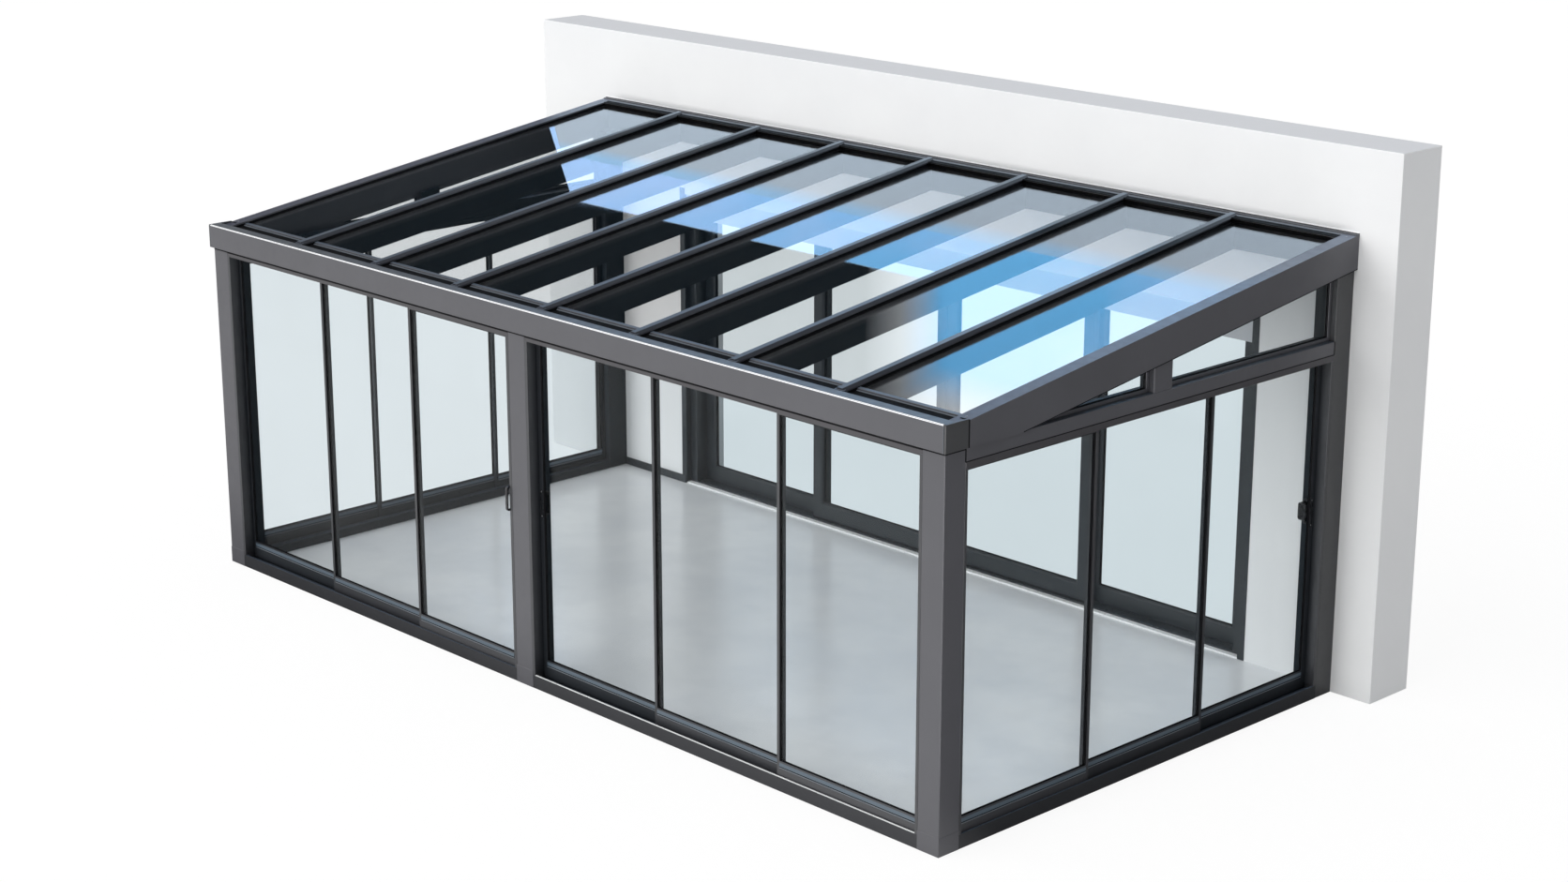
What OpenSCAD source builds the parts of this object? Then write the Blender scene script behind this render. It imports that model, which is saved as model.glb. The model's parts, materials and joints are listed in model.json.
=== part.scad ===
// Lean-to glass room with an aluminium frame, set against a stretch of house wall.
// Millimetres. X runs along the front, Y from the front towards the house, Z is up.
// The origin is on the ground, under the centre line of the front posts.

/* [Room] */
// Width over the corner posts
room_w = 6500; // [6000:50:7200]
// Depth from the front of the posts to the house wall
room_d = 3350; // [3000:50:3800]
// Height of the top of the gutter beam
eaves_h = 2300; // [2250:10:2450]
// Pitch of the roof in degrees
roof_pitch = 8.05; // [7:0.05:9.5]
// Thickness of the floor
floor_t = 20; // [10:1:40]

/* [Posts and beams] */
// Side of the square posts
post_w = 150; // [140:2:170]
// Centre of the middle post, from the middle of the front
mid_post_x = -110; // [-200:10:200]
// Height of the gutter beam
gutter_h = 150; // [130:5:160]
// How far the gutter beam stands out past the posts
gutter_over = 20; // [10:1:30]
// Wall thickness of the gutter beam
gutter_t = 12; // [8:1:14]
// Width of the gutter beam's flat top, in front of the trough
gutter_top_w = 82; // [70:1:88]
// Width of the trough at its mouth
trough_w = 44; // [36:1:50]
// Chamfer along the gutter's upper front edge
gutter_chamfer = 5; // [3:1:8]
// Height of the transom over the side glazing
transom_h = 75; // [65:1:85]
// Width of the post that parts each side's fanlight
mullion_w = 150; // [120:5:180]
// Depth of that post, from the outside in
mullion_d = 100; // [80:5:120]

/* [Roof] */
// Number of glass bays
bays = 8; // [7:1:9]
// Width of a rafter
rafter_w = 60; // [50:1:70]
// Width of the rafter at each end
end_rafter_w = 90; // [80:1:100]
// Depth of a rafter, square to the slope
rafter_d = 198; // [185:1:210]
// Height of the cap over the glass
cap_t = 24; // [20:1:28]
// Width of the flat ridge on a cap
cap_ridge_w = 24; // [16:1:30]
// Drop from the ridge of a cap to its edges
cap_fall = 5; // [3:1:7]
// Width of the neck between two panes
neck_w = 18; // [14:1:22]
// Thickness of the roof glass
roof_glass_t = 10; // [8:1:12]
// Play of the roof glass in its rebate, over and under it
glass_play = 0.3; // [0.2:0.05:0.5]
// Gap from a pane's edge to the neck
pane_gap = 5; // [3:1:8]
// Depth of the plate on the house wall
plate_d = 60; // [50:1:80]
// Width of the lip that covers the head of the glass
plate_lip_w = 35; // [25:1:45]
// Thickness of the bar at the foot of each pane
foot_bar_t = 12; // [8:1:14]

/* [Sliding glazing] */
// Thickness of a sliding panel
panel_t = 22; // [18:1:24]
// Clear gap between panels in neighbouring tracks, and to the channel's sides
panel_gap = 6; // [5:0.5:7]
// Thickness of the outer lip of the sill, head and jamb profiles
lip_w = 12; // [10:1:16]
// Height of the sill with its three rails
sill_h = 80; // [70:1:90]
// Depth of the channel in the sill
sill_channel_d = 35; // [32:1:40]
// Width of a rail in the sill
rail_w = 8; // [6:1:12]
// Height of a rail in the sill
rail_h = 8; // [5:1:10]
// Height of the head profile
head_h = 40; // [38:1:50]
// Depth of the channel in the head profile
head_channel_d = 22; // [18:1:24]
// Width of a guide slot in the head profile
guide_slot_w = 14; // [12:1:16]
// Depth of a guide slot, above the channel
guide_slot_d = 12; // [10:1:13]
// Width of a panel's top guides
guide_w = 8; // [6:1:9]
// Length of a panel's top guides
guide_l = 60; // [40:5:90]
// Height of a panel's top guides
guide_h = 12; // [10:1:14]
// Thickness of the jamb profile
jamb_t = 20; // [16:1:24]
// Depth of the channel in the jamb profile
jamb_channel_d = 12; // [9:1:14]
// Running clearance over and under a panel
run_gap = 6; // [5:0.5:7]
// Radius of a panel's wheels
wheel_r = 20; // [14:1:24]
// Width of a panel's wheels
wheel_w = 12; // [8:1:14]
// Distance of a wheel or guide from the panel's edge
wheel_inset = 80; // [50:5:150]
// Play between a wheel and what it runs on
wheel_play = 0.3; // [0.2:0.05:0.5]
// Gap from a panel's edge to the bottom of the jamb channel
edge_gap = 5; // [5:0.5:7]
// Overlap of two neighbouring panels
panel_lap = 20; // [18:1:30]
// Width of a panel's uprights where panels lap
stile_w = 20; // [16:1:30]
// Width of a panel's upright that carries the pull
lead_stile_w = 34; // [32:1:45]
// Height of a panel's bottom rail
bottom_rail_h = 106; // [95:1:120]
// Height of a panel's top rail
top_rail_h = 28; // [24:1:40]
// Thickness of the glass in panels and fanlights
glass_t = 8; // [6:1:10]
// Width of a pull
pull_w = 14; // [10:1:16]
// Length of a pull
pull_h = 150; // [120:5:200]
// How far a pull stands out
pull_out = 38; // [30:1:44]
// Thickness of the bow of a pull
pull_bow_t = 11; // [8:1:14]
// Radius of the corners of a pull
pull_r = 16; // [12:1:20]
// Height of the middle of a pull over the ground
pull_z = 1130; // [1000:10:1250]
// Depth of the finger recess behind a pull
recess_d = 5; // [3:0.5:6]

/* [Side fanlights] */
// Height of the bead along the foot of a fanlight and at its posts
fan_bead_w = 22; // [16:1:30]
// Height of the bead along the rafter
fan_head_bead_w = 34; // [24:1:40]
// Thickness of the beads
fan_bead_t = 26; // [20:1:34]

/* [House wall] */
// Height of the wall
wall_h = 3240; // [3100:10:3500]
// Thickness of the wall
wall_t = 370; // [300:5:450]
// Length of wall past the room on the left
wall_left_run = 720; // [300:10:1000]
// Length of wall past the room on the right
wall_right_run = 280; // [200:10:1000]
// Width of the doorway to the house
door_w = 5000; // [4600:20:5200]
// Height of the doorway
door_h = 2150; // [2050:10:2200]
// Centre of the doorway, from the middle of the front
door_x = 70; // [-100:10:100]
// Distance from the wall's face to the door frame
door_reveal = 40; // [30:1:60]
// Face width of the door frame
door_frame_w = 70; // [60:1:80]
// Depth of the door frame
door_frame_d = 170; // [160:1:200]
// Height of the door frame's bottom member
door_base_h = 40; // [30:1:50]
// Thickness of a door sash
sash_t = 50; // [44:1:54]
// Distance between the two tracks of the door
sash_pitch = 70; // [66:1:76]
// Width of a sash's uprights and top rail
sash_stile_w = 80; // [70:1:90]
// Height of a sash's bottom rail
sash_bottom_h = 100; // [90:1:120]
// Overlap of a moving sash and its fixed neighbour
sash_lap = 60; // [50:1:80]
// Running clearance around a moving sash
sash_gap = 6; // [5:0.5:8]
// Height of the skirting
skirting_h = 55; // [40:1:80]
// Thickness of the skirting
skirting_t = 12; // [8:1:16]

/* [Hidden] */

// Colours
frame_colour = [0.25, 0.26, 0.28];
dark_colour = [0.12, 0.13, 0.14];
glass_colour = [0.80, 0.88, 0.90, 0.5];
wall_colour = [0.95, 0.95, 0.95];
floor_colour = [0.72, 0.73, 0.75];

// Lines on the ground
half_w = room_w / 2;
front_y = -post_w / 2;
post_back_y = post_w / 2;
wall_y = front_y + room_d;
back_post_y = wall_y - post_w;
side_in_x = half_w - post_w;
gutter_end_x = half_w + gutter_over;
gutter_y0 = front_y - gutter_over;

// Heights
gutter_bottom = eaves_h - gutter_h;
transom_bottom = gutter_bottom - transom_h;
front_top = gutter_bottom;
side_top = transom_bottom;

// Roof planes: the ridge line of the caps, the underside of the glass, the underside of the rafters
rebate_h = roof_glass_t + 2 * glass_play;
cap_drop = 7;
function cap_z(y) = eaves_h - cap_drop - (post_back_y - y) * tan(roof_pitch);
function below_cap_z(y, d) = cap_z(y) - d / cos(roof_pitch);
function glass_under_z(y) = below_cap_z(y, cap_t + rebate_h);
function rafter_under_z(y) = below_cap_z(y, rafter_d);
fan_tip_y = post_back_y + (gutter_bottom - rafter_under_z(post_back_y)) / tan(roof_pitch);
plate_y = wall_y - plate_d;
lip_y = plate_y - plate_lip_w;
trough_y0 = gutter_y0 + gutter_top_w;
trough_y1 = trough_y0 + trough_w;
bay_pitch = (2 * gutter_end_x - end_rafter_w) / bays;
end_neck_x = gutter_end_x - end_rafter_w + (rafter_w - neck_w) / 2;
function rafter_x(n) = -gutter_end_x + end_rafter_w / 2 + n * bay_pitch;
function pane_x0(n) = (n == 0 ? -end_neck_x : rafter_x(n) + neck_w / 2) + pane_gap;
function pane_x1(n) = (n == bays - 1 ? end_neck_x : rafter_x(n + 1) - neck_w / 2) - pane_gap;
function bay_x0(n) = n == 0 ? -gutter_end_x + end_rafter_w : rafter_x(n) + rafter_w / 2;
function bay_x1(n) = n == bays - 1 ? gutter_end_x - end_rafter_w : rafter_x(n + 1) - rafter_w / 2;

// Side fanlights
mullion_y0 = (post_back_y + back_post_y - mullion_w) / 2;
mullion_y1 = mullion_y0 + mullion_w;
fan_glass_x = half_w - mullion_d / 2;
fan_glass_z = gutter_bottom + fan_bead_w;
function fan_head_z(y) = rafter_under_z(y) - fan_head_bead_w;
fan_glass_tip_y = fan_tip_y + (fan_bead_w + fan_head_bead_w) / tan(roof_pitch);

// Sliding glazing
track_pitch = panel_t + panel_gap;
channel_w = 3 * track_pitch + panel_gap;
function track_in(n) = lip_w + panel_gap + panel_t / 2 + n * track_pitch;
panel_z0 = sill_h - sill_channel_d + rail_h + run_gap;
function panel_h(top) = top - head_h + head_channel_d - run_gap - panel_z0;
bay_end = jamb_t - jamb_channel_d + edge_gap;
pull_x = jamb_t - bay_end + run_gap + pull_w / 2;
function panel_w(len) = (len - 2 * bay_end + 2 * panel_lap) / 3;
function panel_at(len, n) = bay_end + n * (panel_w(len) - panel_lap);
left_bay_x = -side_in_x;
left_bay_w = mid_post_x - post_w / 2 - left_bay_x;
right_bay_x = mid_post_x + post_w / 2;
right_bay_w = side_in_x - right_bay_x;
side_bay_w = back_post_y - post_back_y;

// Doorway
door_x0 = door_x - door_w / 2;
door_x1 = door_x + door_w / 2;
door_frame_y = wall_y + door_reveal;
sash_margin = (door_frame_d - sash_t - sash_pitch) / 2;
near_track_y = door_frame_y + sash_margin + sash_t / 2;
far_track_y = near_track_y + sash_pitch;
door_in_w = door_w - 2 * door_frame_w;
meet_gap = sash_gap;
sash_w = (door_in_w / 2 - meet_gap / 2 + sash_lap) / 2;
fixed_sash_h = door_h - door_frame_w - door_base_h;
moving_sash_h = fixed_sash_h - 2 * sash_gap;

// A block between two corners
module block(p, q) translate(p) cube(q - p);

// Extrudes a profile of [y, z] points from x0 to x1
module along_x(x0, x1, points)
    translate([x0, 0, 0]) rotate([90, 0, 90]) linear_extrude(x1 - x0) polygon(points);

// Extrudes a profile of [x, depth below the cap] points up the roof, cut plumb at y0 and y1
module up_roof(y0, y1, points)
    intersection() {
        translate([0, 0, cap_z(0)])
            rotate([roof_pitch, 0, 0])
                translate([0, y1 + post_w, 0])
                    rotate([90, 0, 0])
                        linear_extrude(y1 - y0 + 2 * post_w) polygon(points);
        block([-room_w, y0, gutter_bottom], [room_w, y1, wall_h + eaves_h]);
    }

module both_sides() {
    children();
    mirror([1, 0, 0]) children();
}

// Moves a piece drawn on the front line to the right side, with its outer face outwards
module to_right_side()
    translate([half_w, post_back_y, 0]) rotate([0, 0, 90]) children();

// Moves a piece drawn on the front line to the front
module to_front(x) translate([x, front_y, 0]) children();

// ---- House wall, floor ----

module floor()
    color(floor_colour) block([-side_in_x, post_back_y, 0], [side_in_x, wall_y, floor_t]);

module wall_left()
    color(wall_colour) block([-half_w - wall_left_run, wall_y, 0], [door_x0, wall_y + wall_t, wall_h]);

module wall_right()
    color(wall_colour) block([door_x1, wall_y, 0], [half_w + wall_right_run, wall_y + wall_t, wall_h]);

module wall_header()
    color(wall_colour) block([door_x0, wall_y, door_h], [door_x1, wall_y + wall_t, wall_h]);

module skirting()
    color(dark_colour)
        block([-side_in_x, wall_y - skirting_t, floor_t], [door_x0, wall_y, floor_t + skirting_h]);

// ---- Posts and beams ----

module front_posts()
    color(frame_colour)
        for (x = [-half_w, mid_post_x - post_w / 2, side_in_x])
            block([x, front_y, 0], [x + post_w, post_back_y, gutter_bottom]);

module back_posts()
    color(frame_colour)
        both_sides()
            along_x(side_in_x, half_w, [
                [back_post_y, 0],
                [wall_y, 0],
                [wall_y, rafter_under_z(wall_y)],
                [back_post_y, rafter_under_z(back_post_y)]
            ]);

module gutter()
    color(frame_colour)
        along_x(-gutter_end_x + gutter_t, gutter_end_x - gutter_t, [
            [gutter_y0, gutter_bottom],
            [post_back_y, gutter_bottom],
            [post_back_y, glass_under_z(post_back_y)],
            [trough_y1, glass_under_z(trough_y1)],
            [trough_y1, gutter_bottom + gutter_t],
            [gutter_y0 + gutter_t, gutter_bottom + gutter_t],
            [gutter_y0 + gutter_t, eaves_h - gutter_t],
            [trough_y0, eaves_h - gutter_t],
            [trough_y0, eaves_h],
            [gutter_y0 + gutter_chamfer, eaves_h],
            [gutter_y0, eaves_h - gutter_chamfer]
        ]);

module gutter_end_caps()
    color(frame_colour)
        both_sides()
            along_x(gutter_end_x - gutter_t, gutter_end_x, [
                [gutter_y0, gutter_bottom],
                [post_back_y, gutter_bottom],
                [post_back_y, eaves_h],
                [gutter_y0 + gutter_chamfer, eaves_h],
                [gutter_y0, eaves_h - gutter_chamfer]
            ]);

module wall_plate()
    color(frame_colour)
        along_x(-gutter_end_x + end_rafter_w, gutter_end_x - end_rafter_w, [
            [plate_y, rafter_under_z(plate_y)],
            [wall_y, rafter_under_z(wall_y)],
            [wall_y, cap_z(wall_y)],
            [lip_y, cap_z(lip_y)],
            [lip_y, below_cap_z(lip_y, cap_t)],
            [plate_y, below_cap_z(plate_y, cap_t)]
        ]);

// ---- Roof ----

// Web of a rafter, from the gutter up to y1
module rafter_web(x0, x1, y1)
    along_x(x0, x1, [
        [post_back_y, gutter_bottom],
        [fan_tip_y, gutter_bottom],
        [y1, rafter_under_z(y1)],
        [y1, glass_under_z(y1)],
        [post_back_y, glass_under_z(post_back_y)]
    ]);

// Cap with a ridge and sloping shoulders, over a neck between the panes
module rafter_head(x)
    translate([x, 0, 0])
        up_roof(trough_y1, lip_y, [
            [-neck_w / 2, -cap_t - rebate_h],
            [neck_w / 2, -cap_t - rebate_h],
            [neck_w / 2, -cap_t],
            [rafter_w / 2, -cap_t],
            [rafter_w / 2, -cap_fall],
            [cap_ridge_w / 2, 0],
            [-cap_ridge_w / 2, 0],
            [-rafter_w / 2, -cap_fall],
            [-rafter_w / 2, -cap_t],
            [-neck_w / 2, -cap_t]
        ]);

module rafters()
    color(frame_colour)
        for (n = [1 : bays - 1]) {
            rafter_web(rafter_x(n) - rafter_w / 2, rafter_x(n) + rafter_w / 2, plate_y);
            rafter_head(rafter_x(n));
        }

module end_rafters()
    color(frame_colour)
        both_sides() {
            rafter_web(gutter_end_x - end_rafter_w, gutter_end_x, wall_y);
            up_roof(post_back_y, wall_y, [
                [end_neck_x, -cap_t - rebate_h],
                [gutter_end_x, -cap_t - rebate_h],
                [gutter_end_x, 0],
                [gutter_end_x - end_rafter_w, 0],
                [gutter_end_x - end_rafter_w, -cap_t],
                [end_neck_x, -cap_t]
            ]);
            up_roof(trough_y0, post_back_y, [
                [end_neck_x, -cap_t - rebate_h],
                [gutter_end_x - gutter_t, -cap_t - rebate_h],
                [gutter_end_x - gutter_t, 0],
                [gutter_end_x - end_rafter_w, 0],
                [gutter_end_x - end_rafter_w, -cap_t],
                [end_neck_x, -cap_t]
            ]);
        }

module roof_glass()
    color(glass_colour)
        for (n = [0 : bays - 1])
            up_roof(trough_y1 + foot_bar_t, plate_y - plate_lip_w / 3, [
                [pane_x0(n), -cap_t - rebate_h + glass_play],
                [pane_x1(n), -cap_t - rebate_h + glass_play],
                [pane_x1(n), -cap_t - glass_play],
                [pane_x0(n), -cap_t - glass_play]
            ]);

module pane_foot_bars()
    color(frame_colour)
        for (n = [0 : bays - 1])
            up_roof(trough_y1, trough_y1 + foot_bar_t, [
                [bay_x0(n), -cap_t - rebate_h],
                [bay_x1(n), -cap_t - rebate_h],
                [bay_x1(n), -cap_t + cap_fall],
                [bay_x0(n), -cap_t + cap_fall]
            ]);

// ---- Side fanlights ----

module transoms()
    color(frame_colour)
        both_sides() block([side_in_x, post_back_y, transom_bottom], [half_w, back_post_y, gutter_bottom]);

module fanlight_mullions()
    color(frame_colour)
        both_sides()
            along_x(half_w - mullion_d, half_w, [
                [mullion_y0, gutter_bottom],
                [mullion_y1, gutter_bottom],
                [mullion_y1, rafter_under_z(mullion_y1)],
                [mullion_y0, rafter_under_z(mullion_y0)]
            ]);

// Beads around an opening whose outline and glass are given as [y, z] points
module bead_ring(outline, glass)
    translate([fan_glass_x - fan_bead_t / 2, 0, 0])
        rotate([90, 0, 90])
            linear_extrude(fan_bead_t)
                difference() {
                    polygon(outline);
                    polygon(glass);
                }

fan_front = [
    [fan_tip_y, gutter_bottom],
    [mullion_y0, gutter_bottom],
    [mullion_y0, rafter_under_z(mullion_y0)]
];
fan_front_glass = [
    [fan_glass_tip_y, fan_glass_z],
    [mullion_y0 - fan_bead_w, fan_glass_z],
    [mullion_y0 - fan_bead_w, fan_head_z(mullion_y0 - fan_bead_w)]
];
fan_back = [
    [mullion_y1, gutter_bottom],
    [back_post_y, gutter_bottom],
    [back_post_y, rafter_under_z(back_post_y)],
    [mullion_y1, rafter_under_z(mullion_y1)]
];
fan_back_glass = [
    [mullion_y1 + fan_bead_w, fan_glass_z],
    [back_post_y - fan_bead_w, fan_glass_z],
    [back_post_y - fan_bead_w, fan_head_z(back_post_y - fan_bead_w)],
    [mullion_y1 + fan_bead_w, fan_head_z(mullion_y1 + fan_bead_w)]
];

module fanlight_beads()
    color(frame_colour)
        both_sides() {
            bead_ring(fan_front, fan_front_glass);
            bead_ring(fan_back, fan_back_glass);
        }

module fanlight_glass()
    color(glass_colour)
        both_sides() {
            along_x(fan_glass_x - glass_t / 2, fan_glass_x + glass_t / 2, fan_front_glass);
            along_x(fan_glass_x - glass_t / 2, fan_glass_x + glass_t / 2, fan_back_glass);
        }

// ---- Three-track glazing ----

// Channel across the depth of a post, open upwards from z = h - d
module channel_section(h, d)
    difference() {
        square([post_w, h]);
        translate([lip_w, h - d]) square([channel_w, d + 1]);
    }

module sill(len)
    rotate([90, 0, 90])
        linear_extrude(len) {
            channel_section(sill_h, sill_channel_d);
            for (n = [0 : 2])
                translate([track_in(n) - rail_w / 2, sill_h - sill_channel_d]) square([rail_w, rail_h]);
        }

module head_track(len, top)
    translate([0, 0, top])
        mirror([0, 0, 1])
            rotate([90, 0, 90])
                linear_extrude(len)
                    difference() {
                        channel_section(head_h, head_channel_d);
                        for (n = [0 : 2])
                            translate([track_in(n) - guide_slot_w / 2, head_h - head_channel_d - guide_slot_d])
                                square([guide_slot_w, guide_slot_d + 1]);
                    }

// Jamb profile on the post at the start of a bay
module jamb(top)
    translate([0, 0, sill_h])
        linear_extrude(top - head_h - sill_h) mirror([1, 0]) rotate(90) channel_section(jamb_t, jamb_channel_d);

module jamb_pair(len, top) {
    jamb(top);
    translate([len, 0, 0]) mirror([1, 0, 0]) jamb(top);
}

module sills()
    color(frame_colour) {
        to_front(left_bay_x) sill(left_bay_w);
        to_front(right_bay_x) sill(right_bay_w);
        both_sides() to_right_side() sill(side_bay_w);
    }

module head_tracks()
    color(frame_colour) {
        to_front(left_bay_x) head_track(left_bay_w, front_top);
        to_front(right_bay_x) head_track(right_bay_w, front_top);
        both_sides() to_right_side() head_track(side_bay_w, side_top);
    }

module jamb_profiles()
    color(frame_colour) {
        to_front(left_bay_x) jamb_pair(left_bay_w, front_top);
        to_front(right_bay_x) jamb_pair(right_bay_w, front_top);
        both_sides() to_right_side() jamb_pair(side_bay_w, side_top);
    }

// Places panel n of a bay in a track (0 is the outermost)
module in_track(len, n, track)
    translate([panel_at(len, n), track_in(track), panel_z0]) children();

// Wheel in the bottom of a panel or sash, standing gap - wheel_play below z = 0
module wheel(x, gap)
    translate([x, wheel_w / 2, wheel_r - gap + wheel_play])
        rotate([90, 0, 0]) cylinder(r = wheel_r, h = wheel_w);

module wheel_pair(w, gap)
    for (x = [wheel_inset, w - wheel_inset]) wheel(x, gap);

// Bare frame, with uprights w0 wide at its start and w1 at its end
module panel_ring(w, h, w0, w1)
    difference() {
        block([0, -panel_t / 2, 0], [w, panel_t / 2, h]);
        block([w0, -panel_t, bottom_rail_h], [w - w1, panel_t, h - top_rail_h]);
    }

module panel_runners(w, h) {
    wheel_pair(w, run_gap);
    for (x = [wheel_inset, w - wheel_inset])
        block([x - guide_l / 2, -guide_w / 2, h - 1], [x + guide_l / 2, guide_w / 2, h + guide_h]);
}

// Panel without a pull
module panel_frame(len, top) {
    panel_ring(panel_w(len), panel_h(top), stile_w, stile_w);
    panel_runners(panel_w(len), panel_h(top));
}

module panel_glass(len, top)
    block([stile_w, -glass_t / 2, bottom_rail_h], [panel_w(len) - stile_w, glass_t / 2, panel_h(top) - top_rail_h]);

// Bow of a pull, as its side view: it stands out along +x
module bow_section()
    difference() {
        union() {
            translate([0, -pull_h / 2]) square([pull_out - pull_r, pull_h]);
            translate([0, pull_r - pull_h / 2]) square([pull_out, pull_h - 2 * pull_r]);
            for (s = [-1, 1]) translate([pull_out - pull_r, s * (pull_h / 2 - pull_r)]) circle(r = pull_r);
        }
        translate([-1, pull_bow_t - pull_h / 2]) square([pull_out - pull_bow_t + 1, pull_h - 2 * pull_bow_t]);
    }

// Bow on the face towards -y, centred at x = 0
module bow_pull()
    translate([-pull_w / 2, -panel_t / 2, 0])
        rotate([90, 0, 90]) linear_extrude(pull_w) mirror([1, 0]) bow_section();

// Finger recess in the face towards +y, centred at x = 0
module finger_recess()
    translate([0, panel_t / 2 + 1, 0])
        rotate([90, 0, 0])
            linear_extrude(recess_d + 1) {
                square([pull_w, pull_h - pull_w], center = true);
                for (s = [-1, 1]) translate([0, s * (pull_h - pull_w) / 2]) circle(d = pull_w);
            }

// Panel with a pull at its start, standing out towards -y
module pull_panel_frame(len, top) {
    difference() {
        panel_ring(panel_w(len), panel_h(top), lead_stile_w, stile_w);
        translate([pull_x, 0, pull_z - panel_z0]) finger_recess();
    }
    translate([pull_x, 0, pull_z - panel_z0]) bow_pull();
    panel_runners(panel_w(len), panel_h(top));
}

module pull_panel_glass(len, top)
    block(
        [lead_stile_w, -glass_t / 2, bottom_rail_h],
        [panel_w(len) - stile_w, glass_t / 2, panel_h(top) - top_rail_h]
    );

// Turns a panel end for end, without turning it inside out
module end_for_end(len) translate([panel_w(len), 0, 0]) mirror([1, 0, 0]) children();

// Turns a panel inside out
module inside_out() mirror([0, 1, 0]) children();

module fixed_panel_frames()
    color(frame_colour) {
        to_front(left_bay_x) in_track(left_bay_w, 0, 2) panel_frame(left_bay_w, front_top);
        to_front(right_bay_x) in_track(right_bay_w, 2, 0) panel_frame(right_bay_w, front_top);
        both_sides() to_right_side() in_track(side_bay_w, 0, 0) panel_frame(side_bay_w, side_top);
    }

module fixed_panel_glass()
    color(glass_colour) {
        to_front(left_bay_x) in_track(left_bay_w, 0, 2) panel_glass(left_bay_w, front_top);
        to_front(right_bay_x) in_track(right_bay_w, 2, 0) panel_glass(right_bay_w, front_top);
        both_sides() to_right_side() in_track(side_bay_w, 0, 0) panel_glass(side_bay_w, side_top);
    }

module front_left_middle_frame()
    color(frame_colour) to_front(left_bay_x) in_track(left_bay_w, 1, 1) panel_frame(left_bay_w, front_top);

module front_left_middle_glass()
    color(glass_colour) to_front(left_bay_x) in_track(left_bay_w, 1, 1) panel_glass(left_bay_w, front_top);

module front_left_outer_frame()
    color(frame_colour)
        to_front(left_bay_x)
            in_track(left_bay_w, 2, 0) end_for_end(left_bay_w) pull_panel_frame(left_bay_w, front_top);

module front_left_outer_glass()
    color(glass_colour)
        to_front(left_bay_x)
            in_track(left_bay_w, 2, 0) end_for_end(left_bay_w) pull_panel_glass(left_bay_w, front_top);

module front_right_middle_frame()
    color(frame_colour) to_front(right_bay_x) in_track(right_bay_w, 1, 1) panel_frame(right_bay_w, front_top);

module front_right_middle_glass()
    color(glass_colour) to_front(right_bay_x) in_track(right_bay_w, 1, 1) panel_glass(right_bay_w, front_top);

module front_right_inner_frame()
    color(frame_colour)
        to_front(right_bay_x) in_track(right_bay_w, 0, 2) inside_out() pull_panel_frame(right_bay_w, front_top);

module front_right_inner_glass()
    color(glass_colour) to_front(right_bay_x) in_track(right_bay_w, 0, 2) pull_panel_glass(right_bay_w, front_top);

module right_side_middle_frame()
    color(frame_colour) to_right_side() in_track(side_bay_w, 1, 1) panel_frame(side_bay_w, side_top);

module right_side_middle_glass()
    color(glass_colour) to_right_side() in_track(side_bay_w, 1, 1) panel_glass(side_bay_w, side_top);

module right_side_inner_frame()
    color(frame_colour)
        to_right_side()
            in_track(side_bay_w, 2, 2)
                end_for_end(side_bay_w) inside_out() pull_panel_frame(side_bay_w, side_top);

module right_side_inner_glass()
    color(glass_colour)
        to_right_side() in_track(side_bay_w, 2, 2) end_for_end(side_bay_w) pull_panel_glass(side_bay_w, side_top);

module left_side_middle_frame() mirror([1, 0, 0]) right_side_middle_frame();

module left_side_middle_glass() mirror([1, 0, 0]) right_side_middle_glass();

module left_side_inner_frame() mirror([1, 0, 0]) right_side_inner_frame();

module left_side_inner_glass() mirror([1, 0, 0]) right_side_inner_glass();

// ---- Doors to the house ----

module patio_frame()
    color(dark_colour)
        difference() {
            block([door_x0, door_frame_y, 0], [door_x1, door_frame_y + door_frame_d, door_h]);
            block(
                [door_x0 + door_frame_w, door_frame_y - 1, door_base_h],
                [door_x1 - door_frame_w, door_frame_y + door_frame_d + 1, door_h - door_frame_w]
            );
        }

module patio_threshold()
    color(wall_colour) block([door_x0, wall_y, 0], [door_x1, door_frame_y, floor_t + 10]);

module sash(h)
    difference() {
        block([0, -sash_t / 2, 0], [sash_w, sash_t / 2, h]);
        block([sash_stile_w, -sash_t, sash_bottom_h], [sash_w - sash_stile_w, sash_t, h - sash_stile_w]);
    }

module sash_glass(h)
    block([sash_stile_w, -glass_t, sash_bottom_h], [sash_w - sash_stile_w, glass_t, h - sash_stile_w]);

module at_fixed_sash() translate([door_x0 + door_frame_w, far_track_y, door_base_h]) children();

module at_moving_sash()
    translate([door_x - meet_gap / 2 - sash_w, near_track_y, door_base_h + sash_gap]) children();

module mirror_at_door() translate([2 * door_x, 0, 0]) mirror([1, 0, 0]) children();

module patio_fixed_sashes()
    color(dark_colour) {
        at_fixed_sash() sash(fixed_sash_h);
        mirror_at_door() at_fixed_sash() sash(fixed_sash_h);
    }

module patio_fixed_glass()
    color(glass_colour) {
        at_fixed_sash() sash_glass(fixed_sash_h);
        mirror_at_door() at_fixed_sash() sash_glass(fixed_sash_h);
    }

module moving_sash() {
    sash(moving_sash_h);
    wheel_pair(sash_w, sash_gap);
}

module patio_left_sash() color(dark_colour) at_moving_sash() moving_sash();

module patio_left_glass() color(glass_colour) at_moving_sash() sash_glass(moving_sash_h);

module patio_right_sash() color(dark_colour) mirror_at_door() at_moving_sash() moving_sash();

module patio_right_glass() color(glass_colour) mirror_at_door() at_moving_sash() sash_glass(moving_sash_h);

// ---- Nodes ----

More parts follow.
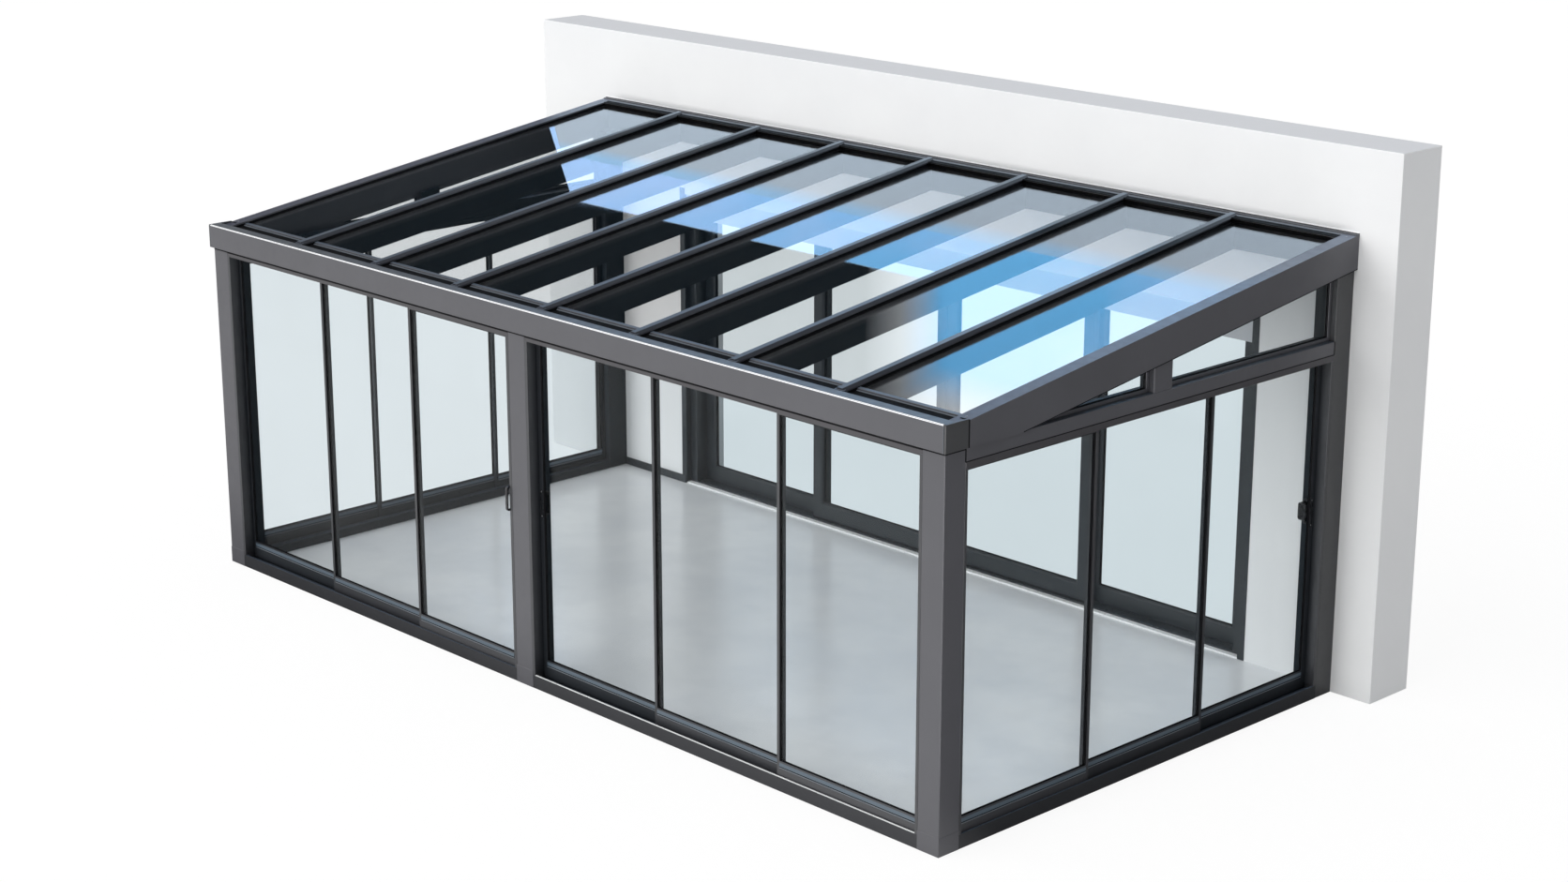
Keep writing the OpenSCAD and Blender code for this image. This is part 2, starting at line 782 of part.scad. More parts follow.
floor();
wall_left();
wall_right();
wall_header();
front_posts();
back_posts();
gutter();
gutter_end_caps();
wall_plate();
end_rafters();
rafters();
pane_foot_bars();
roof_glass();
transoms();
fanlight_mullions();
fanlight_beads();
fanlight_glass();
sills();
head_tracks();
jamb_profiles();
fixed_panel_frames();
fixed_panel_glass();
front_left_middle_frame();
front_left_middle_glass();
front_left_outer_frame();
front_left_outer_glass();
front_right_middle_frame();
front_right_middle_glass();
front_right_inner_frame();
front_right_inner_glass();
right_side_middle_frame();
right_side_middle_glass();
right_side_inner_frame();
right_side_inner_glass();
left_side_middle_frame();
left_side_middle_glass();
left_side_inner_frame();
left_side_inner_glass();
patio_frame();
patio_threshold();
skirting();
patio_fixed_sashes();
patio_fixed_glass();
patio_left_sash();
patio_left_glass();
patio_right_sash();
patio_right_glass();
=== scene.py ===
"""Looks of the lean-to glass room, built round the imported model.

Lengths are metres, with x along the front, y towards the house and z up. Points of small sections are in
millimetres.
"""

import json
import math

import bmesh
import bpy
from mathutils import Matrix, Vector

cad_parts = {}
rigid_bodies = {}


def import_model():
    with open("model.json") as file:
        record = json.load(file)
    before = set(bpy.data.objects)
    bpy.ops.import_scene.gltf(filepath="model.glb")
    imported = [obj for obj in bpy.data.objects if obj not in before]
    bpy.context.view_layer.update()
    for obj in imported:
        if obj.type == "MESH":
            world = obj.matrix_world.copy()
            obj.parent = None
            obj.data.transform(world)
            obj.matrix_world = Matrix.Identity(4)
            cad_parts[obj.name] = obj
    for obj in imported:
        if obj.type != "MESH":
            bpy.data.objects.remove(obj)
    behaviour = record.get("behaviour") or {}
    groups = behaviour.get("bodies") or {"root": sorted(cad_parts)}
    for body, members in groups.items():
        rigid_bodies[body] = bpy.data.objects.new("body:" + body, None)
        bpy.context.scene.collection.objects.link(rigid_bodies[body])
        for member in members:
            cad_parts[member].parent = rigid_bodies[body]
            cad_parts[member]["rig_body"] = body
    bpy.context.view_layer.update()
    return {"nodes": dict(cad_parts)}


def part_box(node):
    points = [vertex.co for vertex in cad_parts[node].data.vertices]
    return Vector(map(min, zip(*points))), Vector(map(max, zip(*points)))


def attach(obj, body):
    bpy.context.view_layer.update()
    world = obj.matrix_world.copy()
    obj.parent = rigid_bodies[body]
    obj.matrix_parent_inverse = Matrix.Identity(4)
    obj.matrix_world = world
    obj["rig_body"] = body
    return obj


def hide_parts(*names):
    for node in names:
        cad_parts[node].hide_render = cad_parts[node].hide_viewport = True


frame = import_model()
nodes = frame["nodes"]
MM = 0.001


# ---------------------------------------------------------------- reading the frame


def islands(node_name):
    """Points of each separate solid of a node, from left to right and from front to back."""
    mesh = nodes[node_name].data
    keys = [tuple(round(c, 5) for c in v.co) for v in mesh.vertices]
    parent = {k: k for k in keys}

    def root(k):
        while parent[k] != k:
            parent[k] = parent[parent[k]]
            k = parent[k]
        return k

    for face in mesh.polygons:
        first = root(keys[face.vertices[0]])
        for v in face.vertices[1:]:
            parent[root(keys[v])] = first
    groups = {}
    for k in sorted(parent):
        groups.setdefault(root(k), []).append(Vector(k))
    return sorted(groups.values(), key=lambda g: (round(sum(p.x for p in g) / len(g), 3),
                                                  round(sum(p.y for p in g) / len(g), 3)))


def low(points):
    return Vector(min(p[i] for p in points) for i in range(3))


def high(points):
    return Vector(max(p[i] for p in points) for i in range(3))


def pane_axis(points):
    """Axis that an upright pane faces along: 0 for x, 1 for y."""
    size = high(points) - low(points)
    return 0 if size.x < size.y else 1


def facing(axis, depth, along, z):
    """Point at a depth on the axis that a pane faces along."""
    return (depth, along, z) if axis == 0 else (along, depth, z)


def top_at(points, y):
    """Height of the top edge that a roof pane has at y."""
    return max(p.z for p in points if abs(p.y - y) < 0.5 * MM)


# outer faces of the room
POST_LOW, POST_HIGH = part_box("front_posts")
SKIN_X, SKIN_Y = POST_HIGH.x, POST_LOW.y
END_X, END_Y, CAP_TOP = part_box("end_rafters")[1]
WALL_LEFT_X, WALL_RIGHT_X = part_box("wall_left")[0].x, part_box("wall_right")[1].x
HEADER_LOW, HEADER_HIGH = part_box("wall_header")
WALL_FACE = HEADER_LOW.y

# roof: the plane of the glass, the plane of the caps and the bays between the rafters
first_pane = islands("roof_glass")[0]
GLASS_Y = low(first_pane).y
GLASS_Z = top_at(first_pane, GLASS_Y)
ROOF_SLOPE = (top_at(first_pane, high(first_pane).y) - GLASS_Z) / (high(first_pane).y - GLASS_Y)
ROOF_UP = Vector((0, -ROOF_SLOPE, 1)).normalized()
CAP_Z = CAP_TOP - END_Y * ROOF_SLOPE
RAFTERS, END_RAFTERS = islands("rafters"), islands("end_rafters")
bay_sides = [x for rafter in RAFTERS for x in (low(rafter).x, high(rafter).x)]
bay_sides = [high(END_RAFTERS[0]).x, *bay_sides, low(END_RAFTERS[1]).x]
BAYS = list(zip(bay_sides[0::2], bay_sides[1::2]))
foot_bar = islands("pane_foot_bars")[0]
FOOT_Y0, FOOT_Y1 = low(foot_bar).y, high(foot_bar).y
HEAD_Y = low(islands("wall_plate")[0]).y


def on_glass(x, y, h):
    """Point h above the roof glass."""
    return Vector((x, y, GLASS_Z + (y - GLASS_Y) * ROOF_SLOPE)) + ROOF_UP * h


def on_caps(x, y, h):
    """Point h above the plane of the rafter caps."""
    return Vector((x, y, CAP_Z + y * ROOF_SLOPE)) + ROOF_UP * h


# ---------------------------------------------------------------- shader helpers


def plug(tree, socket, value):
    """Feed a socket from another one, or set it to a number or a colour."""
    if isinstance(value, bpy.types.NodeSocket):
        tree.links.new(value, socket)
    elif isinstance(value, tuple):
        socket.default_value = (*value, 1)
    else:
        socket.default_value = value


def add(tree, kind, inputs=()):
    """New shader node of a kind, with the inputs given by name."""
    node = tree.nodes.new("ShaderNode" + kind)
    for name, value in dict(inputs).items():
        plug(tree, node.inputs[name], value)
    return node


def new_material(name):
    material = bpy.data.materials.new(name)
    material.use_nodes = True
    tree = material.node_tree
    tree.nodes.clear()
    return material, tree, add(tree, "OutputMaterial")


def principled(tree, out, inputs):
    tree.links.new(add(tree, "BsdfPrincipled", inputs).outputs["BSDF"], out.inputs["Surface"])


def noise(tree, scale, detail=3.0, roughness=0.5, stretch=(1, 1, 1), shift=(0, 0, 0)):
    """Noise in cells of 1 / scale metres, nearly all of it between 0.3 and 0.7."""
    mapping = add(tree, "Mapping", {"Vector": add(tree, "TexCoord").outputs["Object"]})
    mapping.inputs["Scale"].default_value = stretch
    mapping.inputs["Location"].default_value = shift
    texture = add(tree, "TexNoise", {"Vector": mapping.outputs["Vector"], "Scale": scale, "Detail": detail,
                                     "Roughness": roughness})
    return texture.outputs["Fac"]


def remap(tree, value, first, last, start=0.3, end=0.7):
    """First where the value is at the start or before it, last at the end or past it."""
    node = add(tree, "MapRange", {"Value": value, "From Min": start, "From Max": end, "To Min": first,
                                  "To Max": last})
    return node.outputs["Result"]


def maths(tree, operation, *values):
    node = add(tree, "Math")
    node.operation = operation
    for socket, value in zip(node.inputs, values):
        plug(tree, socket, value)
    return node.outputs[0]


def mix_numbers(tree, share, first, second):
    kept = maths(tree, "MULTIPLY", first, maths(tree, "SUBTRACT", 1.0, share))
    return maths(tree, "MULTIPLY_ADD", second, share, kept)


def mix_colour(tree, share, first, second):
    node = add(tree, "Mix")
    node.data_type = "RGBA"
    for socket, value in ((node.inputs[0], share), (node.inputs[6], first), (node.inputs[7], second)):
        plug(tree, socket, value)
    return node.outputs[2]


def mix_shaders(tree, share, first, second):
    node = add(tree, "MixShader")
    for socket, value in zip(node.inputs, (share, first, second)):
        plug(tree, socket, value)
    return node.outputs[0]


def patched(tree, pattern, first, second):
    """Patches of two colours that follow a noise."""
    return mix_colour(tree, remap(tree, pattern, 0.0, 1.0), first, second)


def scaled(colour, factor):
    return tuple(c * factor for c in colour)


def bump(tree, height, strength, distance, normal=None):
    node = add(tree, "Bump", {"Height": height, "Strength": strength, "Distance": distance})
    if normal is not None:
        plug(tree, node.inputs["Normal"], normal)
    return node.outputs["Normal"]


def split(tree, vector):
    return add(tree, "SeparateXYZ", {"Vector": vector}).outputs


def place_of(tree):
    """Coordinates of the shaded point."""
    return split(tree, add(tree, "TexCoord").outputs["Object"])


def upward(tree, most, start, end):
    """0 on upright faces and most on level tops."""
    normal = split(tree, add(tree, "NewGeometry").outputs["Normal"])
    return remap(tree, normal["Z"], 0.0, most, start, end)


# ---------------------------------------------------------------- materials

SHADE_START, SHADE_FULL = 0.028, 0.10  # depths behind the outer faces, for the painted inner shade


def textured(name, dark, light, rough, grain=700.0, metallic=0.0, specular=0.5, stretch=(1, 1, 1)):
    """Solid finish: patches between two shades, a fine grain in the relief and in the gloss."""
    material, tree, out = new_material(name)
    principled(tree, out, {
        "Base Color": patched(tree, noise(tree, 3.0, 4.0, 0.6), dark, light),
        "Roughness": remap(tree, noise(tree, 27.0, 3.0, 0.6, shift=(3, 7, 1)), *rough),
        "Normal": bump(tree, noise(tree, grain, 2.0, 0.6, stretch), 0.6, 0.1 * MM),
        "Metallic": metallic,
        "Specular IOR Level": specular,
    })
    return material


def painted_shade_share(tree):
    """Share of the painted inner shade: 0 on the outer faces of the room and 1 on those towards the inside.
    """
    x, y, z = place_of(tree)
    from_side = maths(tree, "SUBTRACT", SKIN_X, maths(tree, "ABSOLUTE", x))
    from_front = maths(tree, "SUBTRACT", y, SKIN_Y)
    under_caps = maths(tree, "SUBTRACT", maths(tree, "MULTIPLY_ADD", y, ROOF_SLOPE, CAP_Z), z)
    depth = maths(tree, "MINIMUM", maths(tree, "MINIMUM", from_side, from_front), under_caps)
    return remap(tree, depth, 0.0, 1.0, SHADE_START, SHADE_FULL)


def profile_coat(name, outer, inner, top, rough=(0.34, 0.44), specular=0.5):
    """Powder coat with painted shade that makes the faces towards the room darker and duller, and a pale
    bluish painted sheen of mirrored sky on top faces.
    """
    material, tree, out = new_material(name)
    # painted shade: the faces towards the room get the darker inner colour and less gloss
    inside = painted_shade_share(tree)
    shade = patched(tree, noise(tree, 2.2, 5.0, 0.62), outer, scaled(outer, 1.12))
    # painted sheen: top faces lighter and bluer, in patches, weaker towards the room
    sheen_patches = remap(tree, noise(tree, 7.0, 5.0, 0.65), 0.75, 1.0)
    painted_top_sheen = maths(tree, "MULTIPLY", upward(tree, 1.0, 0.75, 0.97), sheen_patches)
    painted_top_sheen = maths(tree, "MULTIPLY", painted_top_sheen, maths(tree, "MULTIPLY_ADD", inside, -0.7, 1.0))
    principled(tree, out, {
        "Base Color": mix_colour(tree, painted_top_sheen, mix_colour(tree, inside, shade, inner), top),
        "Roughness": remap(tree, noise(tree, 20.0, 3.0, 0.6, shift=(3, 7, 1)), *rough),
        "Normal": bump(tree, noise(tree, 900.0, 2.0, 0.6), 0.6, 0.08 * MM),
        "Specular IOR Level": maths(tree, "MULTIPLY_ADD", inside, -0.7 * specular, specular),
    })
    return material


def see_through(name, tint, ior):
    """Clear glass that lets lamps through, with the faint waviness of float glass."""
    material, tree, out = new_material(name)
    waves = noise(tree, 1.3, 2.0)
    glass = add(tree, "BsdfPrincipled", {
        "Base Color": patched(tree, waves, tint, scaled(tint, 0.985)),
        "Roughness": remap(tree, noise(tree, 5.0, 2.0), 0.0, 0.012),
        "Normal": bump(tree, waves, 0.5, 0.04 * MM),
        "Transmission Weight": 1.0,
        "IOR": ior,
    })
    clear = add(tree, "BsdfTransparent", {"Color": (0.985, 0.99, 0.99)})
    path = add(tree, "LightPath").outputs
    lamp_rays = maths(tree, "MAXIMUM", path["Is Shadow Ray"], path["Is Diffuse Ray"])
    tree.links.new(mix_shaders(tree, lamp_rays, glass.outputs[0], clear.outputs[0]), out.inputs["Surface"])
    return material


def polished_floor(name):
    """Pale stone with clouds, veins and specks."""
    material, tree, out = new_material(name)
    clouds = remap(tree, noise(tree, 0.9, 6.0, 0.62), 0.0, 1.0, 0.38, 0.62)
    veins = noise(tree, 2.0, 8.0, 0.6, stretch=(1, 1.15, 1), shift=(4, 1, 0))
    specks = noise(tree, 26.0, 4.0, 0.6)
    stone = mix_colour(tree, clouds, (0.835, 0.85, 0.88), (0.95, 0.955, 0.965))
    stone = mix_colour(tree, remap(tree, veins, 0.0, 0.5, 0.45, 0.75), stone, (0.765, 0.78, 0.80))
    stone = mix_colour(tree, remap(tree, specks, 0.0, 0.08, 0.45, 0.7), stone, (0.765, 0.775, 0.795))
    principled(tree, out, {
        "Base Color": stone,
        "Roughness": remap(tree, veins, 0.17, 0.26),
        "Normal": bump(tree, specks, 0.15, 0.02 * MM),
        "Specular IOR Level": 0.8,
    })
    return material


def rendered_wall(name):
    """Sanded coat of render, with painted shade that makes its level top greyer."""
    material, tree, out = new_material(name)
    coat = noise(tree, 38.0, 5.0, 0.65)
    sand = noise(tree, 420.0, 3.0, 0.7)
    tone = patched(tree, noise(tree, 1.1, 5.0, 0.6), (0.865, 0.87, 0.88), (0.905, 0.91, 0.915))
    principled(tree, out, {
        # painted shade: level tops greyer
        "Base Color": mix_colour(tree, upward(tree, 0.9, 0.8, 0.95), tone, (0.66, 0.67, 0.70)),
        "Roughness": remap(tree, coat, 0.82, 0.95),
        "Normal": bump(tree, sand, 0.5, 0.4 * MM, bump(tree, coat, 0.5, 0.6 * MM)),
        "Specular IOR Level": 0.08,
    })
    return material


# shades of the powder coat: outside, painted shade towards the room and painted sheen on top
# the outer coats of the sills, head tracks, gutter end caps, back posts and rafters are the one anthracite
# coat painted darker as shade
ANTHRACITE, END_COAT_PAINTED_SHADE, TRACK_COAT_PAINTED_SHADE = (0.076, 0.076, 0.086), (0.044, 0.045, 0.048), (0.046, 0.044, 0.050)
COVER_COAT, CAP_COAT_PAINTED_SHADE = (0.042, 0.044, 0.055), (0.030, 0.030, 0.033)
SILL_COAT_PAINTED_SHADE, PANEL_COAT = (0.026, 0.027, 0.031), (0.040, 0.041, 0.046)
ROOM_SIDE_PAINTED_SHADE, ROOF_SIDE_PAINTED_SHADE = (0.005, 0.010, 0.014), (0.004, 0.008, 0.012)
SILL_SIDE_PAINTED_SHADE, PANEL_SIDE_PAINTED_SHADE = (0.012, 0.016, 0.020), (0.010, 0.015, 0.020)
PANEL_TOP_PAINTED_SHEEN = (0.08, 0.11, 0.15)

# in each profile coat the second colour is painted shade towards the room and the third painted sheen on top
# faces
MATERIALS = {
    "frame": profile_coat("anthracite_powder_coat", ANTHRACITE, ROOM_SIDE_PAINTED_SHADE, (0.047, 0.062, 0.082)),
    "end_frame": profile_coat("end_rafter_coat", ANTHRACITE, ROOF_SIDE_PAINTED_SHADE, (0.071, 0.077, 0.110)),
    "dark_frame": profile_coat("end_cap_coat_painted_shade", END_COAT_PAINTED_SHADE, ROOM_SIDE_PAINTED_SHADE, (0.085, 0.10, 0.135)),
    "head_frame": profile_coat("head_track_coat_painted_shade", TRACK_COAT_PAINTED_SHADE, ROOM_SIDE_PAINTED_SHADE, PANEL_TOP_PAINTED_SHEEN),
    "cover": profile_coat("cap_cover_coat", COVER_COAT, COVER_COAT, (0.090, 0.114, 0.150), (0.30, 0.38)),
    "cap_frame": profile_coat("cap_coat_painted_shade", CAP_COAT_PAINTED_SHADE, ROOF_SIDE_PAINTED_SHADE, (0.10, 0.128, 0.165)),
    "low_frame": profile_coat("sill_coat_painted_shade", SILL_COAT_PAINTED_SHADE, SILL_SIDE_PAINTED_SHADE, (0.06, 0.08, 0.11), specular=0.3),
    "panel_frame": profile_coat("panel_powder_coat", PANEL_COAT, PANEL_SIDE_PAINTED_SHADE, PANEL_TOP_PAINTED_SHEEN),
    "plate_frame": profile_coat("plate_powder_coat", PANEL_COAT, PANEL_SIDE_PAINTED_SHADE, (0.115, 0.12, 0.14)),
    "doors": textured("dark_door_coat", (0.011, 0.016, 0.021), (0.016, 0.022, 0.028), (0.32, 0.42)),
    "rubber": textured("black_rubber", (0.002, 0.002, 0.003), (0.005, 0.005, 0.006), (0.6, 0.75),
                       grain=300.0, specular=0.10),
    # bead: bluish grey as painted reflection of the sky; edge: pale as painted highlight
    "bead": textured("bead_painted_reflection", (0.080, 0.112, 0.145), (0.092, 0.126, 0.160), (0.34, 0.42)),
    "edge": textured("edge_painted_highlight", (0.13, 0.15, 0.175), (0.15, 0.17, 0.195), (0.30, 0.38)),
    # painted highlight: near-white for the lit top edge of the sill's lip
    "bright": textured("sill_lip_painted_highlight", (0.80, 0.815, 0.83), (0.86, 0.87, 0.88), (0.30, 0.40),
                       grain=900.0, stretch=(0.03, 1, 1)),
    "trim": textured("silver_anodised", (0.30, 0.31, 0.33), (0.36, 0.37, 0.39), (0.30, 0.40), metallic=0.6),
    "mirror_edge": textured("polished_edge", (0.93, 0.94, 0.96), (0.96, 0.97, 0.98), (0.10, 0.16),
                            metallic=1.0),
    "pull": textured("black_pull", (0.003, 0.003, 0.004), (0.006, 0.006, 0.007), (0.22, 0.34), grain=500.0),
    "board": textured("pale_board", (0.60, 0.62, 0.66), (0.68, 0.70, 0.73), (0.45, 0.6),
                      grain=500.0, specular=0.2),
    "white": textured("white_threshold", (0.92, 0.922, 0.925), (0.95, 0.95, 0.955), (0.24, 0.34),
                      grain=400.0, specular=0.8),
    "pane": see_through("panel_glass", (0.845, 0.885, 0.902), 1.14),
    "door_pane": see_through("door_glass", (0.76, 0.83, 0.855), 1.14),
    "roof_pane": see_through("roof_glass", (1.0, 1.0, 1.0), 1.3),
    "floor": polished_floor("polished_floor"),
    "wall": rendered_wall("wall_render"),
}

# ---------------------------------------------------------------- CAD nodes: finish and eased edges

FINISHES = {
    "roof_glass": "roof_pane", "floor": "floor", "skirting": "doors", "patio_threshold": "white",
    "wall_left": "wall", "wall_right": "wall", "wall_header": "wall", "wall_plate": "plate_frame",
    "sills": "low_frame", "rafters": "cap_frame", "end_rafters": "end_frame", "head_tracks": "head_frame",
    "gutter_end_caps": "dark_frame", "back_posts": "dark_frame",
    "fixed_panel_frames": "panel_frame", "jamb_profiles": "panel_frame",
}

# width of the bevel on the edges of each finish, in millimetres
EASED = {
    "frame": 3.2, "end_frame": 3.2, "head_frame": 3.2, "dark_frame": 2.4, "cap_frame": 1.8,
    "plate_frame": 1.5, "panel_frame": 1.6, "doors": 2.0, "white": 1.5,
}


def finish_of(name):
    if name in FINISHES:
        return FINISHES[name]
    if name.endswith("_glass"):
        return "door_pane" if name.startswith("patio_") else "pane"
    if name.startswith("patio_"):
        return "doors"
    return "panel_frame" if name.endswith("_frame") else "frame"


def ease_edges(obj, width, least_angle):
    modifier = obj.modifiers.new("ease", "BEVEL")
    modifier.width = width
    modifier.segments = 2
    modifier.limit_method = "ANGLE"
    modifier.angle_limit = math.radians(least_angle)


def dress_nodes():
    """Finish of each CAD node, its flat faces joined and its edges eased."""
    for name, node in nodes.items():
        finish = finish_of(name)
        node.data.materials.clear()
        node.data.materials.append(MATERIALS[finish])
        if finish in EASED:
            node.modifiers.new("weld", "WELD").merge_threshold = 0.01 * MM
            flat = node.modifiers.new("flat", "DECIMATE")
            flat.decimate_type = "DISSOLVE"
            flat.angle_limit = math.radians(0.5)
            ease_edges(node, EASED[finish] * MM, 25)


# ---------------------------------------------------------------- outlines and meshes


def rectangle(a, b):
    """Corners of a rectangle between two opposite ones, counter-clockwise."""
    return [(a[0], a[1]), (b[0], a[1]), (b[0], b[1]), (a[0], b[1])]


def round_rect(width, depth, radius, steps=3):
    points = []
    for sx, sy, start in ((1, 1, 0), (-1, 1, 1), (-1, -1, 2), (1, -1, 3)):
        for k in range(steps + 1):
            a = math.pi / 2 * (start + k / steps)
            points.append((sx * (width / 2 - radius) + radius * math.cos(a),
                           sy * (depth / 2 - radius) + radius * math.sin(a)))
    return points


def hull(points):
    """Convex hull of 2-D points, counter-clockwise."""
    points = sorted(set(points))

    def half(row):
        line = []
        for p in row:
            while len(line) > 1 and ((line[-1][0] - line[-2][0]) * (p[1] - line[-2][1])
                                     - (line[-1][1] - line[-2][1]) * (p[0] - line[-2][0])) <= 1e-10:
                line.pop()
            line.append(p)
        return line[:-1]

    return half(points) + half(points[::-1])


def inset(outline, distance):
    """Convex counter-clockwise outline with every side moved inwards."""
    sides = []
    for (x0, y0), (x1, y1) in zip(outline, outline[1:] + outline[:1]):
        length = math.hypot(x1 - x0, y1 - y0)
        nx, ny = -(y1 - y0) / length, (x1 - x0) / length
        sides.append((nx, ny, nx * x0 + ny * y0 + distance))
    corners = []
    for (a, b, c), (d, e, f) in zip(sides[-1:] + sides[:-1], sides):
        det = a * e - b * d
        corners.append(((c * e - b * f) / det, (a * f - c * d) / det))
    return corners


def piece(name, bm, body, finish, ease=0.0):
    """Object that rides on a body. Ease is the width of its edges' bevel."""
    bmesh.ops.recalc_face_normals(bm, faces=bm.faces)
    mesh = bpy.data.meshes.new(name)
    bm.to_mesh(mesh)
    bm.free()
    mesh.materials.append(MATERIALS[finish])
    obj = bpy.data.objects.new(name, mesh)
    bpy.context.scene.collection.objects.link(obj)
    if ease:
        ease_edges(obj, ease, 30)
    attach(obj, body)
    return obj


def loft(bm, loops, closed=False):
    """Skin between loops of points; open lofts get end faces."""
    rows = [[bm.verts.new(p) for p in loop] for loop in loops]
    count = len(rows[0])
    pairs = list(zip(rows, rows[1:])) + ([(rows[-1], rows[0])] if closed else [])
    for r0, r1 in pairs:
        for i in range(count):
            j = (i + 1) % count
            bm.faces.new((r0[i], r0[j], r1[j], r1[i]))
    if not closed:
        bm.faces.new(rows[0])
        bm.faces.new(rows[-1][::-1])


def box(bm, a, b):
    loft(bm, [[(x, y, z) for x, y in rectangle(a, b)] for z in (a[2], b[2])])


def strip(bm, section, ends, y, z):
    """Section of (behind y, above z) in millimetres, run along x between the ends."""
    loft(bm, [[(x, y + d * MM, z + h * MM) for d, h in section] for x in ends])


def roof_strip(bm, section, ends, y, place):
    """Section of (behind y, above the slope) in millimetres, run along x between the ends."""
    loft(bm, [[place(x, y + d * MM, h * MM) for d, h in section] for x in ends])


def ring(bm, outline, section, place):
    """Mitred strip round an outline. The section is (inwards, up) in millimetres, put in space by place."""
    loops = [inset(outline, d * MM) for d, h in section]
    loft(bm, [[place(*loop[i], h * MM) for loop, (d, h) in zip(loops, section)] for i in range(len(outline))],
         closed=True)


# ---------------------------------------------------------------- gaskets and beads of the glass

WEDGE = [(-0.5, -0.3), (5, -0.3), (4.5, 1.5), (1, 5.5), (-0.5, 5.5)]
DOOR_BEAD = [(-0.5, -0.3), (13, -0.3), (13, 5), (4, 14), (-0.5, 15)]
DOOR_GASKET = [(12, -0.3), (17, -0.3), (16, 2), (12.5, 4), (12, 4)]


def pane_rings(bm, pane, section):
    """Strip round both faces of an upright pane."""
    axis = pane_axis(pane)
    middle = (low(pane)[axis] + high(pane)[axis]) / 2
    half = (high(pane) - low(pane))[axis] / 2
    outline = hull([(round(p[1 - axis], 5), round(p.z, 5)) for p in pane])
    for side in (-1, 1):
        ring(bm, outline, section, lambda along, z, h: facing(axis, middle + side * (half + h), along, z))


def ring_piece(name, node_names, section, finish):
    """One piece of the strips round all panes of some nodes of one body."""
    strips = bmesh.new()
    for node_name in node_names:
        for pane in islands(node_name):
            pane_rings(strips, pane, section)
    piece(name, strips, nodes[node_names[0]]["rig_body"], finish)


def glass_gaskets():
    ring_piece("fixed_glass_gaskets", ["fixed_panel_glass", "fanlight_glass"], WEDGE, "rubber")
    for node_name in nodes:
        stem = node_name.removesuffix("_glass")
        if stem == node_name or stem in ("roof", "fixed_panel", "fanlight"):
            continue
        if stem.startswith("patio"):
            ring_piece(stem + "_glazing_beads", [node_name], DOOR_BEAD, "doors")
            ring_piece(stem + "_gaskets", [node_name], DOOR_GASKET, "rubber")
        else:
            ring_piece(stem + "_gaskets", [node_name], WEDGE, "rubber")


# ---------------------------------------------------------------- bottom rails: glazing bead, groove and lip

PANEL_HALF = 11 * MM
# bead, groove and lip: the bead's bluish grey is painted reflection of the sky, the black groove painted
# shade and the pale lip painted highlight on the rail's edge
RAIL_STRIPS = (
    ("bead", [(-9.5, -0.5), (-9.5, 0.8), (-12, 1.6), (-30, 2.0), (-30, -0.5)], "bead", "frame_anthracite"),
    ("groove", [(-30, -0.5), (-30, 0.4), (-36, 0.4), (-36, -0.5)], "rubber", None),
    ("lip", [(-36, -0.5), (-36, 1.6), (-38, 2.2), (-42, 0.6), (-42, -0.5)], "edge", "frame_anthracite"),
)


def rail_strip(bm, pane, section):
    """Strip on both faces of the rail under a pane. The section is (above the glass's foot, proud)."""
    axis = pane_axis(pane)
    lo, hi = low(pane), high(pane)
    middle = (lo[axis] + hi[axis]) / 2
    for side in (-1, 1):
        loft(bm, [[facing(axis, middle + side * (PANEL_HALF + proud * MM), along, lo.z + height * MM)
                   for height, proud in section] for along in (lo[1 - axis], hi[1 - axis])])


def bottom_rails():
    for node_name, node in nodes.items():
        stem = node_name.removesuffix("_glass")
        if stem == node_name or stem in ("roof", "fanlight") or stem.startswith("patio"):
            continue
        for label, section, finish, slot in RAIL_STRIPS:
            strips = bmesh.new()
            for pane in islands(node_name):
                rail_strip(strips, pane, section)
            piece(stem + "_rail_" + label, strips, node["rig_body"], finish)


# ---------------------------------------------------------------- roof: seals, covers and pane feet

CAP_SEAL = [(-1, 0.05), (14, 0.05), (13, 1.5), (3, 3), (1.2, 15), (-1, 15)]
FOOT_TRIM = [(1, 9), (-3, 9), (-3, 4), (1, 4)]
COVER_SIDE = [(31, -9), (31, -2), (30, 0), (20, 13), (18, 14)]
COVER = [(-a, h) for a, h in COVER_SIDE] + COVER_SIDE[::-1]
COVER_PAST_FOOT, COVER_PAST_HEAD = 6 * MM, 50 * MM
COVER_END, COVER_END_WIDTH = 2 * MM, 0.94
FOOT_PLATE, FOOT_PLATE_ENDS = [(-35, -9), (-35, 3), (-33, 5), (33, 5), (35, 3), (35, -9)], (-14, 9)
PLATE_GASKET = [(-1.5, -1), (-1.5, 2), (8, 2.4), (12, 1), (22, 1), (26, 2.4), (40, 2.4), (46, 0.2), (46, -1)]
# painted shadow: black strip on the glass behind the gutter; the pale ledge is painted highlight
FOOT_PAINTED_SHADOW = [(8, 0.1), (8, 1.6), (67, 1.6), (67, 0.1)]
LEDGE = [(66, 0.1), (66, 3), (75, 4), (75, 0.1)]
CLAMP = [(76, 0.1), (76, 9), (79, 12), (101, 12), (104, 9), (104, 0.1)]


